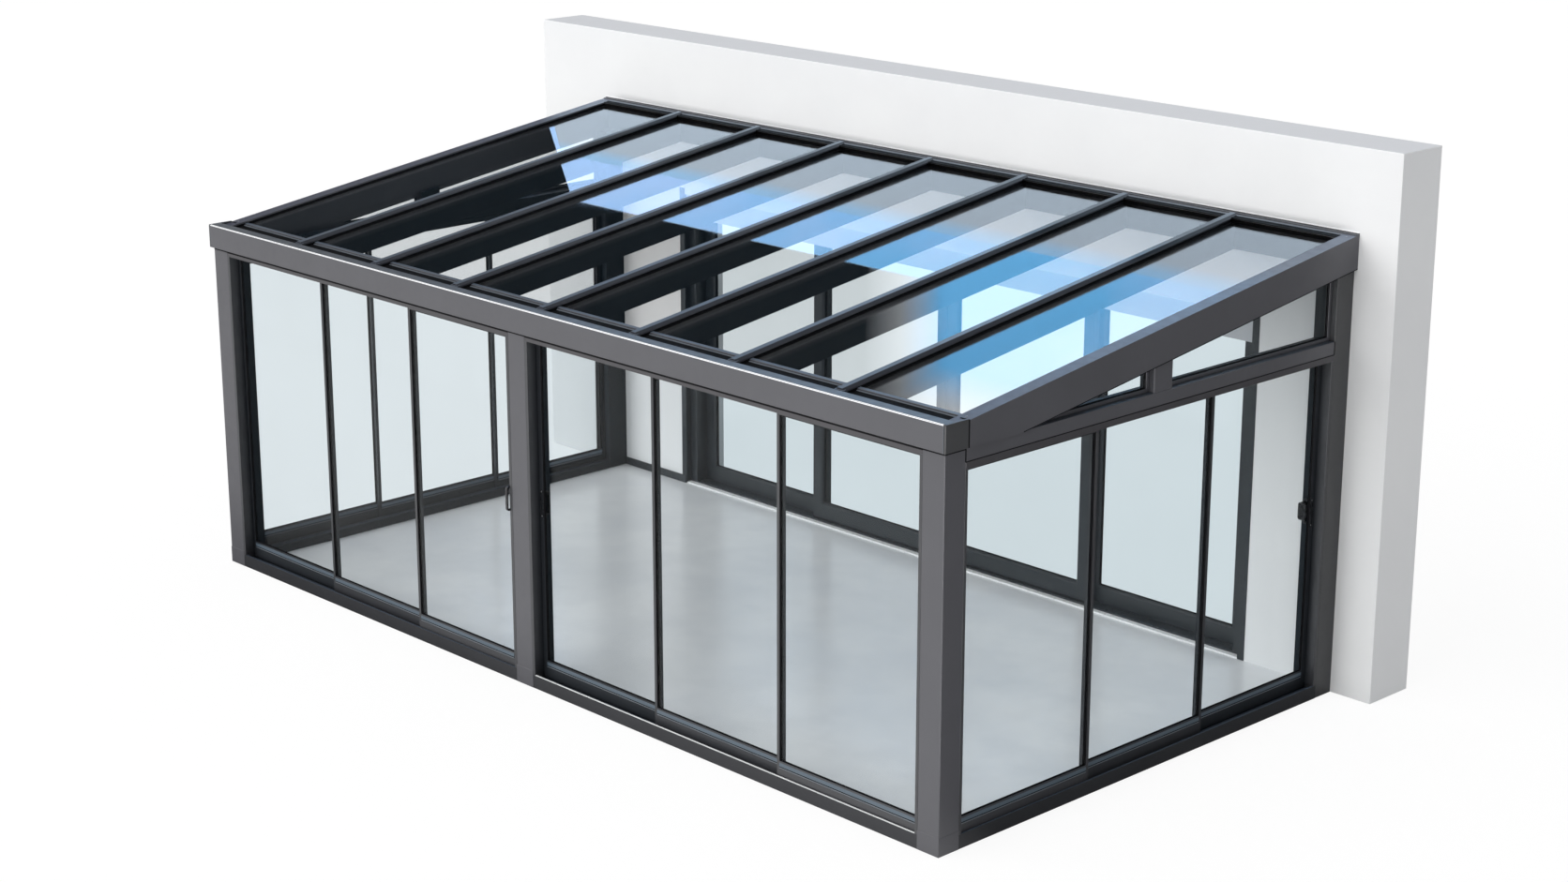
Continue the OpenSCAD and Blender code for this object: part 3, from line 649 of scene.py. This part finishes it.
def pane_seals():
    """Seals round the roof panes, and the bright trim under each pane's foot."""
    seals, feet = bmesh.new(), bmesh.new()
    under, over = on_glass(0, HEAD_Y, 0.05 * MM).z, on_glass(0, HEAD_Y, 19 * MM).z
    foot_z = on_glass(0, FOOT_Y0, 0).z
    for x0, x1 in BAYS:
        ring(seals, rectangle((x0, FOOT_Y1), (x1, HEAD_Y)), CAP_SEAL, on_glass)
        box(seals, (x0 + 1.3 * MM, HEAD_Y - 1.2 * MM, under), (x1 - 1.3 * MM, HEAD_Y + 0.5 * MM, over))
        strip(feet, FOOT_TRIM, (x0 + 1 * MM, x1 - 1 * MM), FOOT_Y0, foot_z)
    piece("roof_pane_seals", seals, "room", "rubber")
    piece("pane_foot_trims", feet, "room", "trim")


def rafter_covers():
    """Cover that narrows a little at its two ends on each rafter cap, and a plate at its foot."""
    covers, plates = bmesh.new(), bmesh.new()
    for rafter in RAFTERS:
        middle, foot_y = (low(rafter).x + high(rafter).x) / 2, low(rafter).y
        y0, y1 = foot_y - COVER_PAST_FOOT, HEAD_Y + COVER_PAST_HEAD
        loops = ((y0, COVER_END_WIDTH), (y0 + COVER_END, 1.0), (y1 - COVER_END, 1.0), (y1, COVER_END_WIDTH))
        loft(covers, [[on_caps(middle + a * width * MM, y, h * MM) for a, h in COVER] for y, width in loops])
        loft(plates, [[on_caps(middle + a * MM, foot_y + d * MM, h * MM) for a, h in FOOT_PLATE]
                      for d in FOOT_PLATE_ENDS])
    piece("rafter_cap_covers", covers, "room", "cover", 0.6 * MM)
    piece("rafter_foot_plates", plates, "room", "cover", 0.6 * MM)


def plate_gasket():
    """Ribbed gasket along the wall plate, from one end rafter to the other."""
    gasket = bmesh.new()
    roof_strip(gasket, PLATE_GASKET, (BAYS[0][0], BAYS[-1][1]), HEAD_Y, on_caps)
    piece("wall_plate_gasket", gasket, "room", "rubber")


def pane_feet():
    """Black strip, ledge and clamp across the foot of each roof pane: the black strip is painted shadow
    behind the gutter and the ledge's pale face a painted highlight.
    """
    for name, section, finish, slot, ease in (
            ("pane_foot_painted_shadows", FOOT_PAINTED_SHADOW, "rubber", None, 0.0),
            ("pane_foot_ledges", LEDGE, "edge", "frame_anthracite", 0.0),
            ("pane_foot_clamps", CLAMP, "cover", "frame_anthracite", 0.6 * MM)):
        strips = bmesh.new()
        for x0, x1 in BAYS:
            roof_strip(strips, section, (x0 + 1 * MM, x1 - 1 * MM), FOOT_Y1, on_glass)
        piece(name, strips, "room", finish, ease)


# ---------------------------------------------------------------- flashing along the house wall, end screws

FLASHING = [(-24, -4.5), (-23, 2), (-5, 2.5), (-4, 9), (1, 10), (1, -4.5)]
SEALANT = [(-4, 8), (-4, 11), (-1, 14), (1, 14), (1, 8)]
SCREW_HEAD = ((1.0, -0.3), (1.0, 0.35), (0.82, 0.85), (0.5, 1.0), (0.34, 1.0), (0.26, 0.6))  # radius, height
END_SCREW, SCREW_FROM_END, SCREW_FROM_SIDE = (6 * MM, 2.4 * MM), 60 * MM, 45 * MM


def flashing():
    """Flashing on the wall over the roof's head, and the line of sealant on it."""
    for name, section, finish, slot, ease in (
            ("wall_flashing", FLASHING, "plate_frame", "frame_anthracite", 0.8 * MM),
            ("flashing_sealant", SEALANT, "white", None, 0.0)):
        run = bmesh.new()
        strip(run, section, (-END_X, END_X), WALL_FACE, CAP_TOP)
        piece(name, run, "room", finish, ease)


def screw_head(bm, centre, normal, radius, height):
    """Low domed head with a shallow dish in its middle."""
    side = normal.orthogonal().normalized()
    other = normal.cross(side)
    angles = [math.tau * k / 12 for k in range(12)]
    loft(bm, [[centre + normal * height * h + (side * math.cos(a) + other * math.sin(a)) * radius * r
               for a in angles] for r, h in SCREW_HEAD])


def end_screws():
    """Two screws on the top of each end rafter."""
    screws = bmesh.new()
    for sign in (-1, 1):
        for y in (FOOT_Y1 + SCREW_FROM_END, WALL_FACE - SCREW_FROM_END):
            place = Vector((sign * (END_X - SCREW_FROM_SIDE), y, CAP_TOP - (WALL_FACE - y) * ROOF_SLOPE))
            screw_head(screws, place, ROOF_UP, *END_SCREW)
    piece("end_cap_screws", screws, "room", "trim")


# ---------------------------------------------------------------- sill trims, feet of the posts, joints

SILL_LIP = [(1.2, -1), (1.2, 1.5), (2.4, 2.6), (11, 2.6), (11, -1)]
GUTTER_EDGE = [(0.1, -6.5), (0.1, -5.2), (5.2, 0.1), (6.2, 0.3), (6.6, -6.5)]
BLOCK_SIZE, BLOCK_HEIGHT = 20 * MM, 9 * MM
SHOE_HEIGHT, SHOE_WALL = 105 * MM, 1.2 * MM
JOINT_HALF, JOINT_DEPTH = 4.6 * MM, 60 * MM
POST_SEAL, FRONT_TRACK_SEAL, SIDE_TRACK_SEAL, RAFTER_SEAL = 14 * MM, 17 * MM, 4 * MM, 5 * MM  # heights
SEAL_BEHIND = 2 * MM  # how far a seal reaches into the profile that it is on
FOOT_LINE_HEIGHT = 76 * MM
GUTTER_LINE, GUTTER_SEAL, EDGE_END = (16.5 * MM, 13.5 * MM), (13.5 * MM, 11 * MM), 17 * MM  # from the end
PROUD, FLUSH = 0.4 * MM, 0.04 * MM  # flush is for the faces that no piece may stand out of
GUTTER_END_LOW, GUTTER_END_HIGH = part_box("gutter_end_caps")
TRANSOM_LOW, TRANSOM_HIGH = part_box("transoms")


def sill_trims():
    """Lip along each front sill, with a block at its right end, both near-white as a painted highlight on the
    sill's edge.
    """
    trims = bmesh.new()
    for sill in islands("sills"):
        lo, hi = low(sill), high(sill)
        if hi.x - lo.x < hi.y - lo.y:
            continue
        strip(trims, SILL_LIP, (lo.x, hi.x), lo.y, hi.z)
        box(trims, (hi.x - BLOCK_SIZE, lo.y + 1.2 * MM, hi.z - 1 * MM),
            (hi.x - 0.2 * MM, lo.y + BLOCK_SIZE, hi.z + BLOCK_HEIGHT))
    piece("front_sill_trims", trims, "room", "bright", 0.6 * MM)


def post_shoes():
    """Sleeve round the foot of each front post, flush with its back."""
    shoes = bmesh.new()
    for post in islands("front_posts"):
        lo, hi = low(post), high(post)
        outline = rectangle((lo.x - SHOE_WALL, lo.y - SHOE_WALL), (hi.x + SHOE_WALL, hi.y))
        loft(shoes, [[(x, y, z) for x, y in inset(outline, d)]
                     for z, d in ((0.0, 0.0), (SHOE_HEIGHT - 2 * MM, 0.0), (SHOE_HEIGHT, 1.4 * MM))])
    piece("post_shoes", shoes, "room", "frame")


def side_joints(bm, sign):
    """Joints of the gutter's end cap and of the transom, on one side of the room."""
    post_back = high(islands("front_posts")[0]).y
    for y, high_corner, z0, z1 in (
            (post_back, GUTTER_END_HIGH, GUTTER_END_LOW.z + 1 * MM, GUTTER_END_HIGH.z - 5 * MM),
            (post_back, TRANSOM_HIGH, TRANSOM_LOW.z, GUTTER_END_LOW.z),
            (TRANSOM_HIGH.y, TRANSOM_HIGH, TRANSOM_LOW.z, TRANSOM_HIGH.z)):
        box(bm, (sign * (high_corner.x - JOINT_DEPTH), y - JOINT_HALF, z0),
            (sign * (high_corner.x + PROUD), y + JOINT_HALF, z1))


def gutter_line(bm, sign, start, end):
    """Upright line on the gutter's face, between two distances from its end."""
    box(bm, (sign * (GUTTER_END_HIGH.x - start), GUTTER_END_LOW.y - FLUSH, GUTTER_END_LOW.z + 1 * MM),
        (sign * (GUTTER_END_HIGH.x - end), GUTTER_END_LOW.y + 20 * MM, GUTTER_END_HIGH.z - 7 * MM))


def post_joints(bm, post):
    """Seal round the top, under the gutter, and the line between the foot and the sill on its left."""
    lo, hi = low(post), high(post)
    box(bm, (lo.x - PROUD, lo.y - PROUD, hi.z - POST_SEAL), (hi.x + PROUD, hi.y, hi.z + 0.2 * MM))
    box(bm, (lo.x - 1.6 * MM, lo.y + 4 * MM, 1 * MM), (lo.x + 3 * MM, lo.y + 8 * MM, FOOT_LINE_HEIGHT))


def track_joint(bm, track):
    """Seal along the top of a head track, on its outer face; on the front tracks it is also the painted
    shadow under the gutter.
    """
    lo, hi = low(track), high(track)
    top = hi.z - 0.1 * MM
    if hi.x - lo.x > hi.y - lo.y:
        box(bm, (lo.x, lo.y - PROUD, hi.z - FRONT_TRACK_SEAL), (hi.x, lo.y + SEAL_BEHIND, top))
    else:
        outer_x = hi.x if hi.x > 0 else lo.x
        side = math.copysign(1, outer_x)
        box(bm, (outer_x + side * PROUD, lo.y, hi.z - SIDE_TRACK_SEAL),
            (outer_x - side * SEAL_BEHIND, hi.y, top))


def rafter_joint(bm, rafter):
    """Seal along the lower edge of an end rafter's outer face."""
    side = math.copysign(1, sum(p.x for p in rafter))
    outer_x = max(p.x * side for p in rafter)
    face = hull([(round(p.y, 5), round(p.z, 5)) for p in rafter])
    runs = [(a, b) for a, b in zip(face, face[1:] + face[:1]) if abs(b[0] - a[0]) > 1.0]
    (ya, za), (yb, zb) = min(runs, key=lambda run: run[0][1] + run[1][1])
    loft(bm, [[(x, ya, za), (x, yb, zb), (x, yb, zb + RAFTER_SEAL), (x, ya, za + RAFTER_SEAL)]
              for x in (side * (outer_x - SEAL_BEHIND), side * (outer_x + PROUD))])


def frame_joints():
    """Black seals where the profiles meet, and the pale line beside the one at each end of the gutter, a
    painted highlight on the end cap's edge.
    """
    joints, lines = bmesh.new(), bmesh.new()
    for sign in (-1, 1):
        side_joints(joints, sign)
        gutter_line(joints, sign, *GUTTER_SEAL)
        gutter_line(lines, sign, *GUTTER_LINE)
    for post in islands("front_posts"):
        post_joints(joints, post)
    for track in islands("head_tracks"):
        track_joint(joints, track)
    for rafter in END_RAFTERS:
        rafter_joint(joints, rafter)
    piece("frame_joint_seals", joints, "room", "rubber")
    piece("gutter_corner_lines", lines, "room", "edge")


def gutter_edge():
    """Mirror-polished strip along the gutter's front top corner, added as the edge's painted highlight."""
    edge = bmesh.new()
    end = GUTTER_END_HIGH.x - EDGE_END
    strip(edge, GUTTER_EDGE, (-end, end), GUTTER_END_LOW.y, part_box("gutter")[1].z)
    piece("gutter_edge_trim", edge, "room", "mirror_edge")


# ---------------------------------------------------------------- house wall and doorway

FLANGE, TRIM = 45 * MM, 4 * MM
BOARD_HEIGHT, BOARD_LAP = 162 * MM, 66 * MM
BOARD_FRONT, BOARD_BACK = WALL_FACE + 16 * MM, WALL_FACE + 30 * MM


def house():
    """The three walls in one coat of render."""
    door_left, door_right, door_top, wall_top = HEADER_LOW.x, HEADER_HIGH.x, HEADER_LOW.z, HEADER_HIGH.z
    face = [(WALL_LEFT_X, 0), (door_left, 0), (door_left, door_top), (door_right, door_top), (door_right, 0),
            (WALL_RIGHT_X, 0), (WALL_RIGHT_X, wall_top), (WALL_LEFT_X, wall_top)]
    wall = bmesh.new()
    loft(wall, [[(x, y, z) for x, z in face] for y in (WALL_FACE, HEADER_HIGH.y)])
    house_wall = piece("house_wall", wall, "room", "wall", 4 * MM)
    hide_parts("wall_left", "wall_right", "wall_header")


def doorway():
    """Angle trim up both sides of the doorway, and the board over the doors, whose pale colour is painted
    reflection of the sky on the door head.
    """
    trims, board = bmesh.new(), bmesh.new()
    lo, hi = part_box("patio_frame")
    inner, outer, floor_top = lo.y + 1 * MM, WALL_FACE + 1 * MM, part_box("floor")[1].z
    for sign, x in ((-1, lo.x), (1, hi.x)):
        section = [(-TRIM, WALL_FACE - TRIM), (FLANGE, WALL_FACE - TRIM), (FLANGE, outer), (1 * MM, outer),
                   (1 * MM, inner), (-TRIM, inner)]
        loft(trims, [[(x + sign * d, y, z) for d, y in section] for z in (floor_top, hi.z + FLANGE)])
    piece("doorway_trim", trims, "room", "doors", 0.8 * MM)
    foot, top, lap = hi.z - BOARD_HEIGHT, hi.z + 0.5 * MM, hi.z - BOARD_LAP
    section = [(BOARD_FRONT + 2 * MM, foot), (BOARD_FRONT, foot + 2 * MM), (BOARD_FRONT, top), (inner, top),
               (inner, lap), (BOARD_BACK, lap), (BOARD_BACK, foot)]
    loft(board, [[(x, y, z) for y, z in section] for x in (lo.x + TRIM, hi.x - TRIM)])
    piece("door_head_board", board, "room", "board", 1 * MM)


# ---------------------------------------------------------------- pulls of the sliding panels

PULLED_PANELS = ("front_left_outer", "front_right_inner", "right_side_inner", "left_side_inner")
Z_AXIS = Vector((0, 0, 1))
BOW_CORNER, BOW_THICK, BOW_EDGE = 14 * MM, 11.8 * MM, 3.2 * MM
BOW_STEPS = 6
ROSE_WIDER, ROSE_TALLER, ROSE_EDGE = 7 * MM, 9 * MM, 5 * MM
ROSE_LOOPS = ((-0.5 * MM, 0.0), (1.8 * MM, 0.0), (2.8 * MM, 0.12))  # out of the panel, share narrowed
OVER_CAD = 0.8 * MM  # how much the bow is taller and wider than the plain one that it covers
GRIP_HALF_HEIGHT, GRIP_EDGE = 52 * MM, 13 * MM
GRIP_LOOPS = ((-8, 0.94), (-6, 1.0), (24, 1.0), (27, 0.94))  # towards the glass in millimetres, size
PLATE_WIDTH, PLATE_HEIGHT, PLATE_EDGE = 24 * MM, 168 * MM, 5 * MM
HOLE_WIDTH, HOLE_HEIGHT = 15 * MM, 134 * MM
PLATE_BACK, PLATE_FRONT = -0.3 * MM, 1.6 * MM
PLATE_SCREW, PLATE_SCREW_Z = (4.5 * MM, 1.4 * MM), 75 * MM


def bow(bm, centre, out, across, height, reach, width):
    """Bow handle swept along its path: out of the panel, up, and back in, with a rose at each foot."""
    half, far = height / 2 - BOW_THICK / 2, reach - BOW_THICK / 2
    path = [((0.0, -half), (1, 0)), ((far - BOW_CORNER, -half), (1, 0))]
    for k in range(1, BOW_STEPS):
        a = math.pi / 2 * k / BOW_STEPS
        path.append(((far - BOW_CORNER * (1 - math.sin(a)), -half + BOW_CORNER * (1 - math.cos(a))),
                     (math.cos(a), math.sin(a))))
    path.append(((far, -half + BOW_CORNER), (0, 1)))
    path += [((d, -z), (-tx, tz)) for (d, z), (tx, tz) in reversed(path)]
    loops = []
    for (d, z), (td, tz) in path:
        inner = Z_AXIS * td - out * tz
        place = centre + out * d + Z_AXIS * z
        loops.append([place + across * a + inner * b for a, b in round_rect(width, BOW_THICK, BOW_EDGE)])
    loft(bm, loops)
    for end in (-half, half):
        base = centre + Z_AXIS * end
        rose = [base + across * a + Z_AXIS * b
                for a, b in round_rect(width + ROSE_WIDER, BOW_THICK + ROSE_TALLER, ROSE_EDGE)]
        loft(bm, [[p + out * h + (base - p) * narrowed for p in rose] for h, narrowed in ROSE_LOOPS])


def wide_grip(bm, centre, out, towards_glass, reach):
    """Flat grip on the bow of the side panels."""
    middle = centre + out * (reach * 0.5 + 10 * MM)
    outline = round_rect(reach + 16 * MM, 2 * GRIP_HALF_HEIGHT, GRIP_EDGE)
    loft(bm, [[middle + out * a * size + Z_AXIS * b * size + towards_glass * along * MM for a, b in outline]
              for along, size in GRIP_LOOPS])


def recess_plate(name, body, back, out, across):
    """Rim of the finger recess on the panel's other face, with a screw above and below."""
    plate, screws = bmesh.new(), bmesh.new()
    rim = round_rect(PLATE_WIDTH, PLATE_HEIGHT, PLATE_EDGE)
    hole = round_rect(HOLE_WIDTH, HOLE_HEIGHT, PLATE_EDGE)
    loft(plate, [[back + across * a + Z_AXIS * b - out * h
                  for (a, b), h in ((r, PLATE_BACK), (r, PLATE_FRONT), (q, PLATE_FRONT), (q, PLATE_BACK))]
                 for r, q in zip(rim, hole)], closed=True)
    for z in (-PLATE_SCREW_Z, PLATE_SCREW_Z):
        screw_head(screws, back - out * PLATE_FRONT + Z_AXIS * z, -out, *PLATE_SCREW)
    piece(name + "_recess_plate", plate, body, "pull")
    piece(name + "_recess_screws", screws, body, "trim")


def pull(name):
    """Bow handle over the plain one that stands out of a panel's frame, and a recess on the other face."""
    node = nodes[name + "_frame"]
    solid = [v.co for v in node.data.vertices]
    glass = [v.co for v in nodes[name + "_glass"].data.vertices]
    axis = pane_axis(glass)
    other = 1 - axis
    glass_middle = (low(glass) + high(glass)) / 2
    depths = [p[axis] - glass_middle[axis] for p in solid]
    sign = 1 if max(depths) > -min(depths) else -1
    plain_bow = [p for p, depth in zip(solid, depths) if sign * depth > PANEL_HALF + 2 * MM]
    reach = max(sign * depth for depth in depths) - PANEL_HALF
    size = high(plain_bow) - low(plain_bow)
    out, across = Vector((0, 0, 0)), Vector((0, 0, 0))
    out[axis], across[other] = sign, 1
    centre = (low(plain_bow) + high(plain_bow)) / 2
    centre[axis] = glass_middle[axis] + sign * PANEL_HALF
    handle = bmesh.new()
    bow(handle, centre, out, across, size.z + OVER_CAD, reach + 0.05 * MM, size[other] + OVER_CAD)
    if axis == 0:
        towards_glass = across * math.copysign(1, glass_middle[other] - centre[other])
        wide_grip(handle, centre, out, towards_glass, reach)
    piece(name + "_pull", handle, node["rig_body"], "pull")
    recess_plate(name, node["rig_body"], centre - out * (2 * PANEL_HALF), out, across)


# ---------------------------------------------------------------- stage and light

FLOOR_GLOW, FLOOR_SHARE, FLOOR_DROP = 1.12, 0.80, 2 * MM
FRONT_GLOW, RIGHT_GLOW, CORNER_GLOW = 1.65, 0.06, 7.0
SKY_BLUE, SKY_PALE, WALL_REFLECTION_GREY = (0.46, 1.50, 2.70), (1.20, 1.86, 2.95), (1.22, 1.46, 1.72)
WALL_REFLECTION_BLUE, FLOOR_GREY, EDGE_GREY = (0.95, 1.62, 2.40), (0.75, 0.77, 0.80), (1.7, 1.8, 1.9)
CARD_Z, CUT_Y = 9, 11.33
SKY_CARD = [(-24.5, 17.6), (-15.3, CUT_Y), (-9.95, CUT_Y), (-6.3, 7.35), (4, 5), (8, 40), (-30, 40)]
EDGE_LIGHT_Z, EDGE_LIGHT = 9.3, rectangle((-19, -5.5), (2.5, 0.2))
FLAG_OVER_CAPS, FLAG = 60 * MM, rectangle((-3.15, 2.3), (3.15, 3.2))
ROOF_MIRRORS_TO_Y = 14.0  # the roof mirrors the sky card up to here, and the room's floor what is past it
EDGE_POINT, EDGE_NORMAL = (-9.51, 10.96), (0.733, 0.68)  # line of the sky's soft lower right edge


def mirror_rays(tree):
    """1 for rays mirrored by a surface, 0 for those that went through one."""
    path = add(tree, "LightPath").outputs
    reflected = maths(tree, "SUBTRACT", 1.0, path["Is Transmission Ray"])
    return maths(tree, "MULTIPLY", path["Is Glossy Ray"], reflected)


def seen_rays(tree):
    """1 for camera, glossy and transmission rays."""
    path = add(tree, "LightPath").outputs
    bounced = maths(tree, "MAXIMUM", path["Is Glossy Ray"], path["Is Transmission Ray"])
    return maths(tree, "MAXIMUM", path["Is Camera Ray"], bounced)


def glow(tree, colour, strength=1.0):
    return add(tree, "Emission", {"Color": colour, "Strength": strength}).outputs[0]


def stage_piece(name, bm):
    """Object of the stage with an empty material: the object, the node tree and its output."""
    mesh = bpy.data.meshes.new(name)
    bm.to_mesh(mesh)
    bm.free()
    obj = bpy.data.objects.new(name, mesh)
    bpy.context.scene.collection.objects.link(obj)
    material, tree, out = new_material(name)
    mesh.materials.append(material)
    return obj, tree, out


def stage_floor():
    """Pale floor that mirrors see brighter in front of the room and darker beside it."""
    bm = bmesh.new()
    bmesh.ops.create_grid(bm, x_segments=8, y_segments=8, size=80)
    obj, tree, out = stage_piece("studio_floor", bm)
    obj.location.z = -FLOOR_DROP
    x, y, _ = place_of(tree)
    past_side = maths(tree, "SUBTRACT", x, SKIN_X)
    behind = maths(tree, "SUBTRACT", y, maths(tree, "MULTIPLY", past_side, 0.1))
    front = maths(tree, "ADD", FRONT_GLOW, remap(tree, past_side, 0.0, CORNER_GLOW, 0.2, 1.4))
    beside = mix_numbers(tree, remap(tree, behind, 0.0, 1.0, -0.3, 0.4), front, RIGHT_GLOW)
    far_left = maths(tree, "SUBTRACT", x, maths(tree, "MULTIPLY", y, 1.05))
    mirrored = maths(tree, "MULTIPLY", beside, remap(tree, far_left, 0.75, 1.0, -SKIN_X, 0.0))
    strength = mix_numbers(tree, mirror_rays(tree), FLOOR_GLOW, mirrored)
    matt = add(tree, "BsdfDiffuse", {"Color": (0.62, 0.62, 0.62)})
    share = maths(tree, "MULTIPLY", seen_rays(tree), FLOOR_SHARE)
    blend = mix_shaders(tree, share, matt.outputs[0], glow(tree, (1, 1, 1), strength))
    tree.links.new(blend, out.inputs["Surface"])


def studio_world():
    """White behind everything, dark overhead where metal and glass mirror it, and soft light on the rest."""
    world = bpy.data.worlds.new("studio")
    world.use_nodes = True
    tree = world.node_tree
    tree.nodes.clear()
    ambient = add(tree, "Background", {"Color": (0.97, 0.985, 1.0), "Strength": 0.58})
    backdrop = add(tree, "Background", {"Color": (1, 1, 1), "Strength": 1.0})
    ceiling = add(tree, "Background", {"Color": (0.008, 0.013, 0.018)})
    direction = split(tree, add(tree, "TexCoord").outputs["Generated"])
    overhead = remap(tree, direction["Z"], 0.0, 1.0, 0.10, 0.34)
    mirrored = maths(tree, "MULTIPLY", overhead, add(tree, "LightPath").outputs["Is Glossy Ray"])
    seen = mix_shaders(tree, mirrored, backdrop.outputs[0], ceiling.outputs[0])
    both = mix_shaders(tree, seen_rays(tree), ambient.outputs[0], seen)
    tree.links.new(both, add(tree, "OutputWorld").inputs["Surface"])
    bpy.context.scene.world = world


def sun():
    """Broad soft light from the front and a little from the left."""
    lamp = bpy.data.lights.new("key", "SUN")
    lamp.energy = 2.2
    lamp.angle = math.radians(75)
    lamp.color = (1.0, 0.99, 0.975)
    obj = bpy.data.objects.new("key", lamp)
    bpy.context.scene.collection.objects.link(obj)
    towards = Vector((-0.32, -0.84, 0.48))
    obj.rotation_mode = "QUATERNION"
    obj.rotation_quaternion = towards.to_track_quat("Z", "Y")


def mirror_card(name, corners, shade, both_faces=False):
    """Glowing panel that only mirrors see, with both_faces also by way of the far face of the glass."""
    bm = bmesh.new()
    bm.faces.new([bm.verts.new(c) for c in corners])
    obj, tree, out = stage_piece(name, bm)
    tree.links.new(shade(tree), out.inputs["Surface"])
    for rays in ("camera", "diffuse", "shadow", "volume_scatter"):
        setattr(obj, "visible_" + rays, False)
    obj.visible_transmission = both_faces
    return obj


def sky_colour(tree, x, y):
    """Deeper blue to the right, in soft clouds, pale at both ends, and grey where the floor mirrors it."""
    clouds = remap(tree, noise(tree, 0.45, 4.0, 0.55), 0.22, -0.30, 0.38, 0.66)
    blueness = maths(tree, "ADD", remap(tree, x, 0.0, 1.0, -16.0, -8.0), clouds)
    blueness = maths(tree, "SUBTRACT", blueness, remap(tree, y, 0.35, 0.0, 8.7, 10.0))
    blueness = maths(tree, "SUBTRACT", blueness, remap(tree, y, 0.0, 0.45, 11.9, 13.2))
    blue = mix_colour(tree, remap(tree, blueness, 0.0, 1.0, 0.0, 1.0), SKY_PALE, SKY_BLUE)
    return mix_colour(tree, maths(tree, "LESS_THAN", y, ROOF_MIRRORS_TO_Y), FLOOR_GREY, blue)


def sky_shade(tree):
    """Sky that thins out to grey and to nothing at its lower right edge."""
    x, y, _ = place_of(tree)
    from_edge = maths(tree, "ADD",
                      maths(tree, "MULTIPLY", maths(tree, "SUBTRACT", x, EDGE_POINT[0]), EDGE_NORMAL[0]),
                      maths(tree, "MULTIPLY", maths(tree, "SUBTRACT", y, EDGE_POINT[1]), EDGE_NORMAL[1]))
    above_cut = remap(tree, y, 0.0, 1.0, CUT_Y - 0.02, CUT_Y + 0.02)
    clear_of_edge = maths(tree, "MINIMUM", remap(tree, from_edge, 0.0, 1.0, 0.3, 0.75),
                          remap(tree, y, 0.0, 1.0, 9.1, 9.8))
    coloured = maths(tree, "MAXIMUM", clear_of_edge, above_cut)
    solid = maths(tree, "MAXIMUM", remap(tree, from_edge, 0.0, 1.0, -0.1, 0.85), above_cut)
    colour = mix_colour(tree, coloured, EDGE_GREY, sky_colour(tree, x, y))
    clear = add(tree, "BsdfTransparent")
    return mix_shaders(tree, solid, clear.outputs[0], glow(tree, colour))


def wall_reflection_shade(tree):
    """Painted reflection of the sky over the wall, grey at the roof and blue towards the sky."""
    share = remap(tree, place_of(tree)["Z"], 0.0, 1.0, HEADER_HIGH.z - 0.12, HEADER_HIGH.z - 0.03)
    return glow(tree, mix_colour(tree, share, WALL_REFLECTION_GREY, WALL_REFLECTION_BLUE))


def flag_shade(tree):
    """Black from below and clear from above."""
    from_below = add(tree, "NewGeometry").outputs["Backfacing"]
    clear = add(tree, "BsdfTransparent")
    black = add(tree, "BsdfDiffuse", {"Color": (0.0, 0.0, 0.0)})
    return mix_shaders(tree, from_below, clear.outputs[0], black.outputs[0])


def white_shade(tree):
    return glow(tree, (1, 1, 1), 1.5)


def cards():
    """Sky over the roof, painted sky reflection on the wall, light for the gutter's edge, shade for the wall
    over the doors.
    """
    mirror_card("sky_card", [(x, y, CARD_Z) for x, y in SKY_CARD], sky_shade, True)
    # painted reflection: a glowing sheet on the wall's face, seen through the roof glass and in mirrors
    veil = rectangle((WALL_LEFT_X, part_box("wall_plate")[1].z), (WALL_RIGHT_X, HEADER_HIGH.z))
    mirror_card("sky_reflection_on_wall", [(x, WALL_FACE - 3 * MM, z) for x, z in veil], wall_reflection_shade, True)
    mirror_card("edge_light", [(x, y, EDGE_LIGHT_Z) for x, y in EDGE_LIGHT], white_shade)
    flag = mirror_card("header_flag", [on_caps(x, y, FLAG_OVER_CAPS) for x, y in FLAG], flag_shade)
    for rays, seen in (("diffuse", True), ("shadow", True), ("glossy", False), ("transmission", False)):
        setattr(flag, "visible_" + rays, seen)


CAMERA_PLACE, LENS = (12.172, -9.654, 6.031), 64.21
CAMERA_DOWN, CAMERA_TURN = math.radians(16.289), math.radians(46.404)


def camera():
    """Camera to the front right of the room, tilted down."""
    data = bpy.data.cameras.new("camera")
    data.sensor_width = 36
    data.lens = LENS
    data.clip_end = 300
    obj = bpy.data.objects.new("camera", data)
    bpy.context.scene.collection.objects.link(obj)
    obj.location = CAMERA_PLACE
    obj.rotation_euler = (math.pi / 2 - CAMERA_DOWN, 0, CAMERA_TURN)
    bpy.context.scene.camera = obj


# ---------------------------------------------------------------- the whole

dress_nodes()
glass_gaskets()
bottom_rails()
pane_seals()
rafter_covers()
plate_gasket()
pane_feet()
flashing()
end_screws()
sill_trims()
post_shoes()
frame_joints()
gutter_edge()
house()
doorway()
for panel in PULLED_PANELS:
    pull(panel)

camera()
stage_floor()
studio_world()
sun()
cards()
bpy.context.scene.view_settings.view_transform = "Standard"
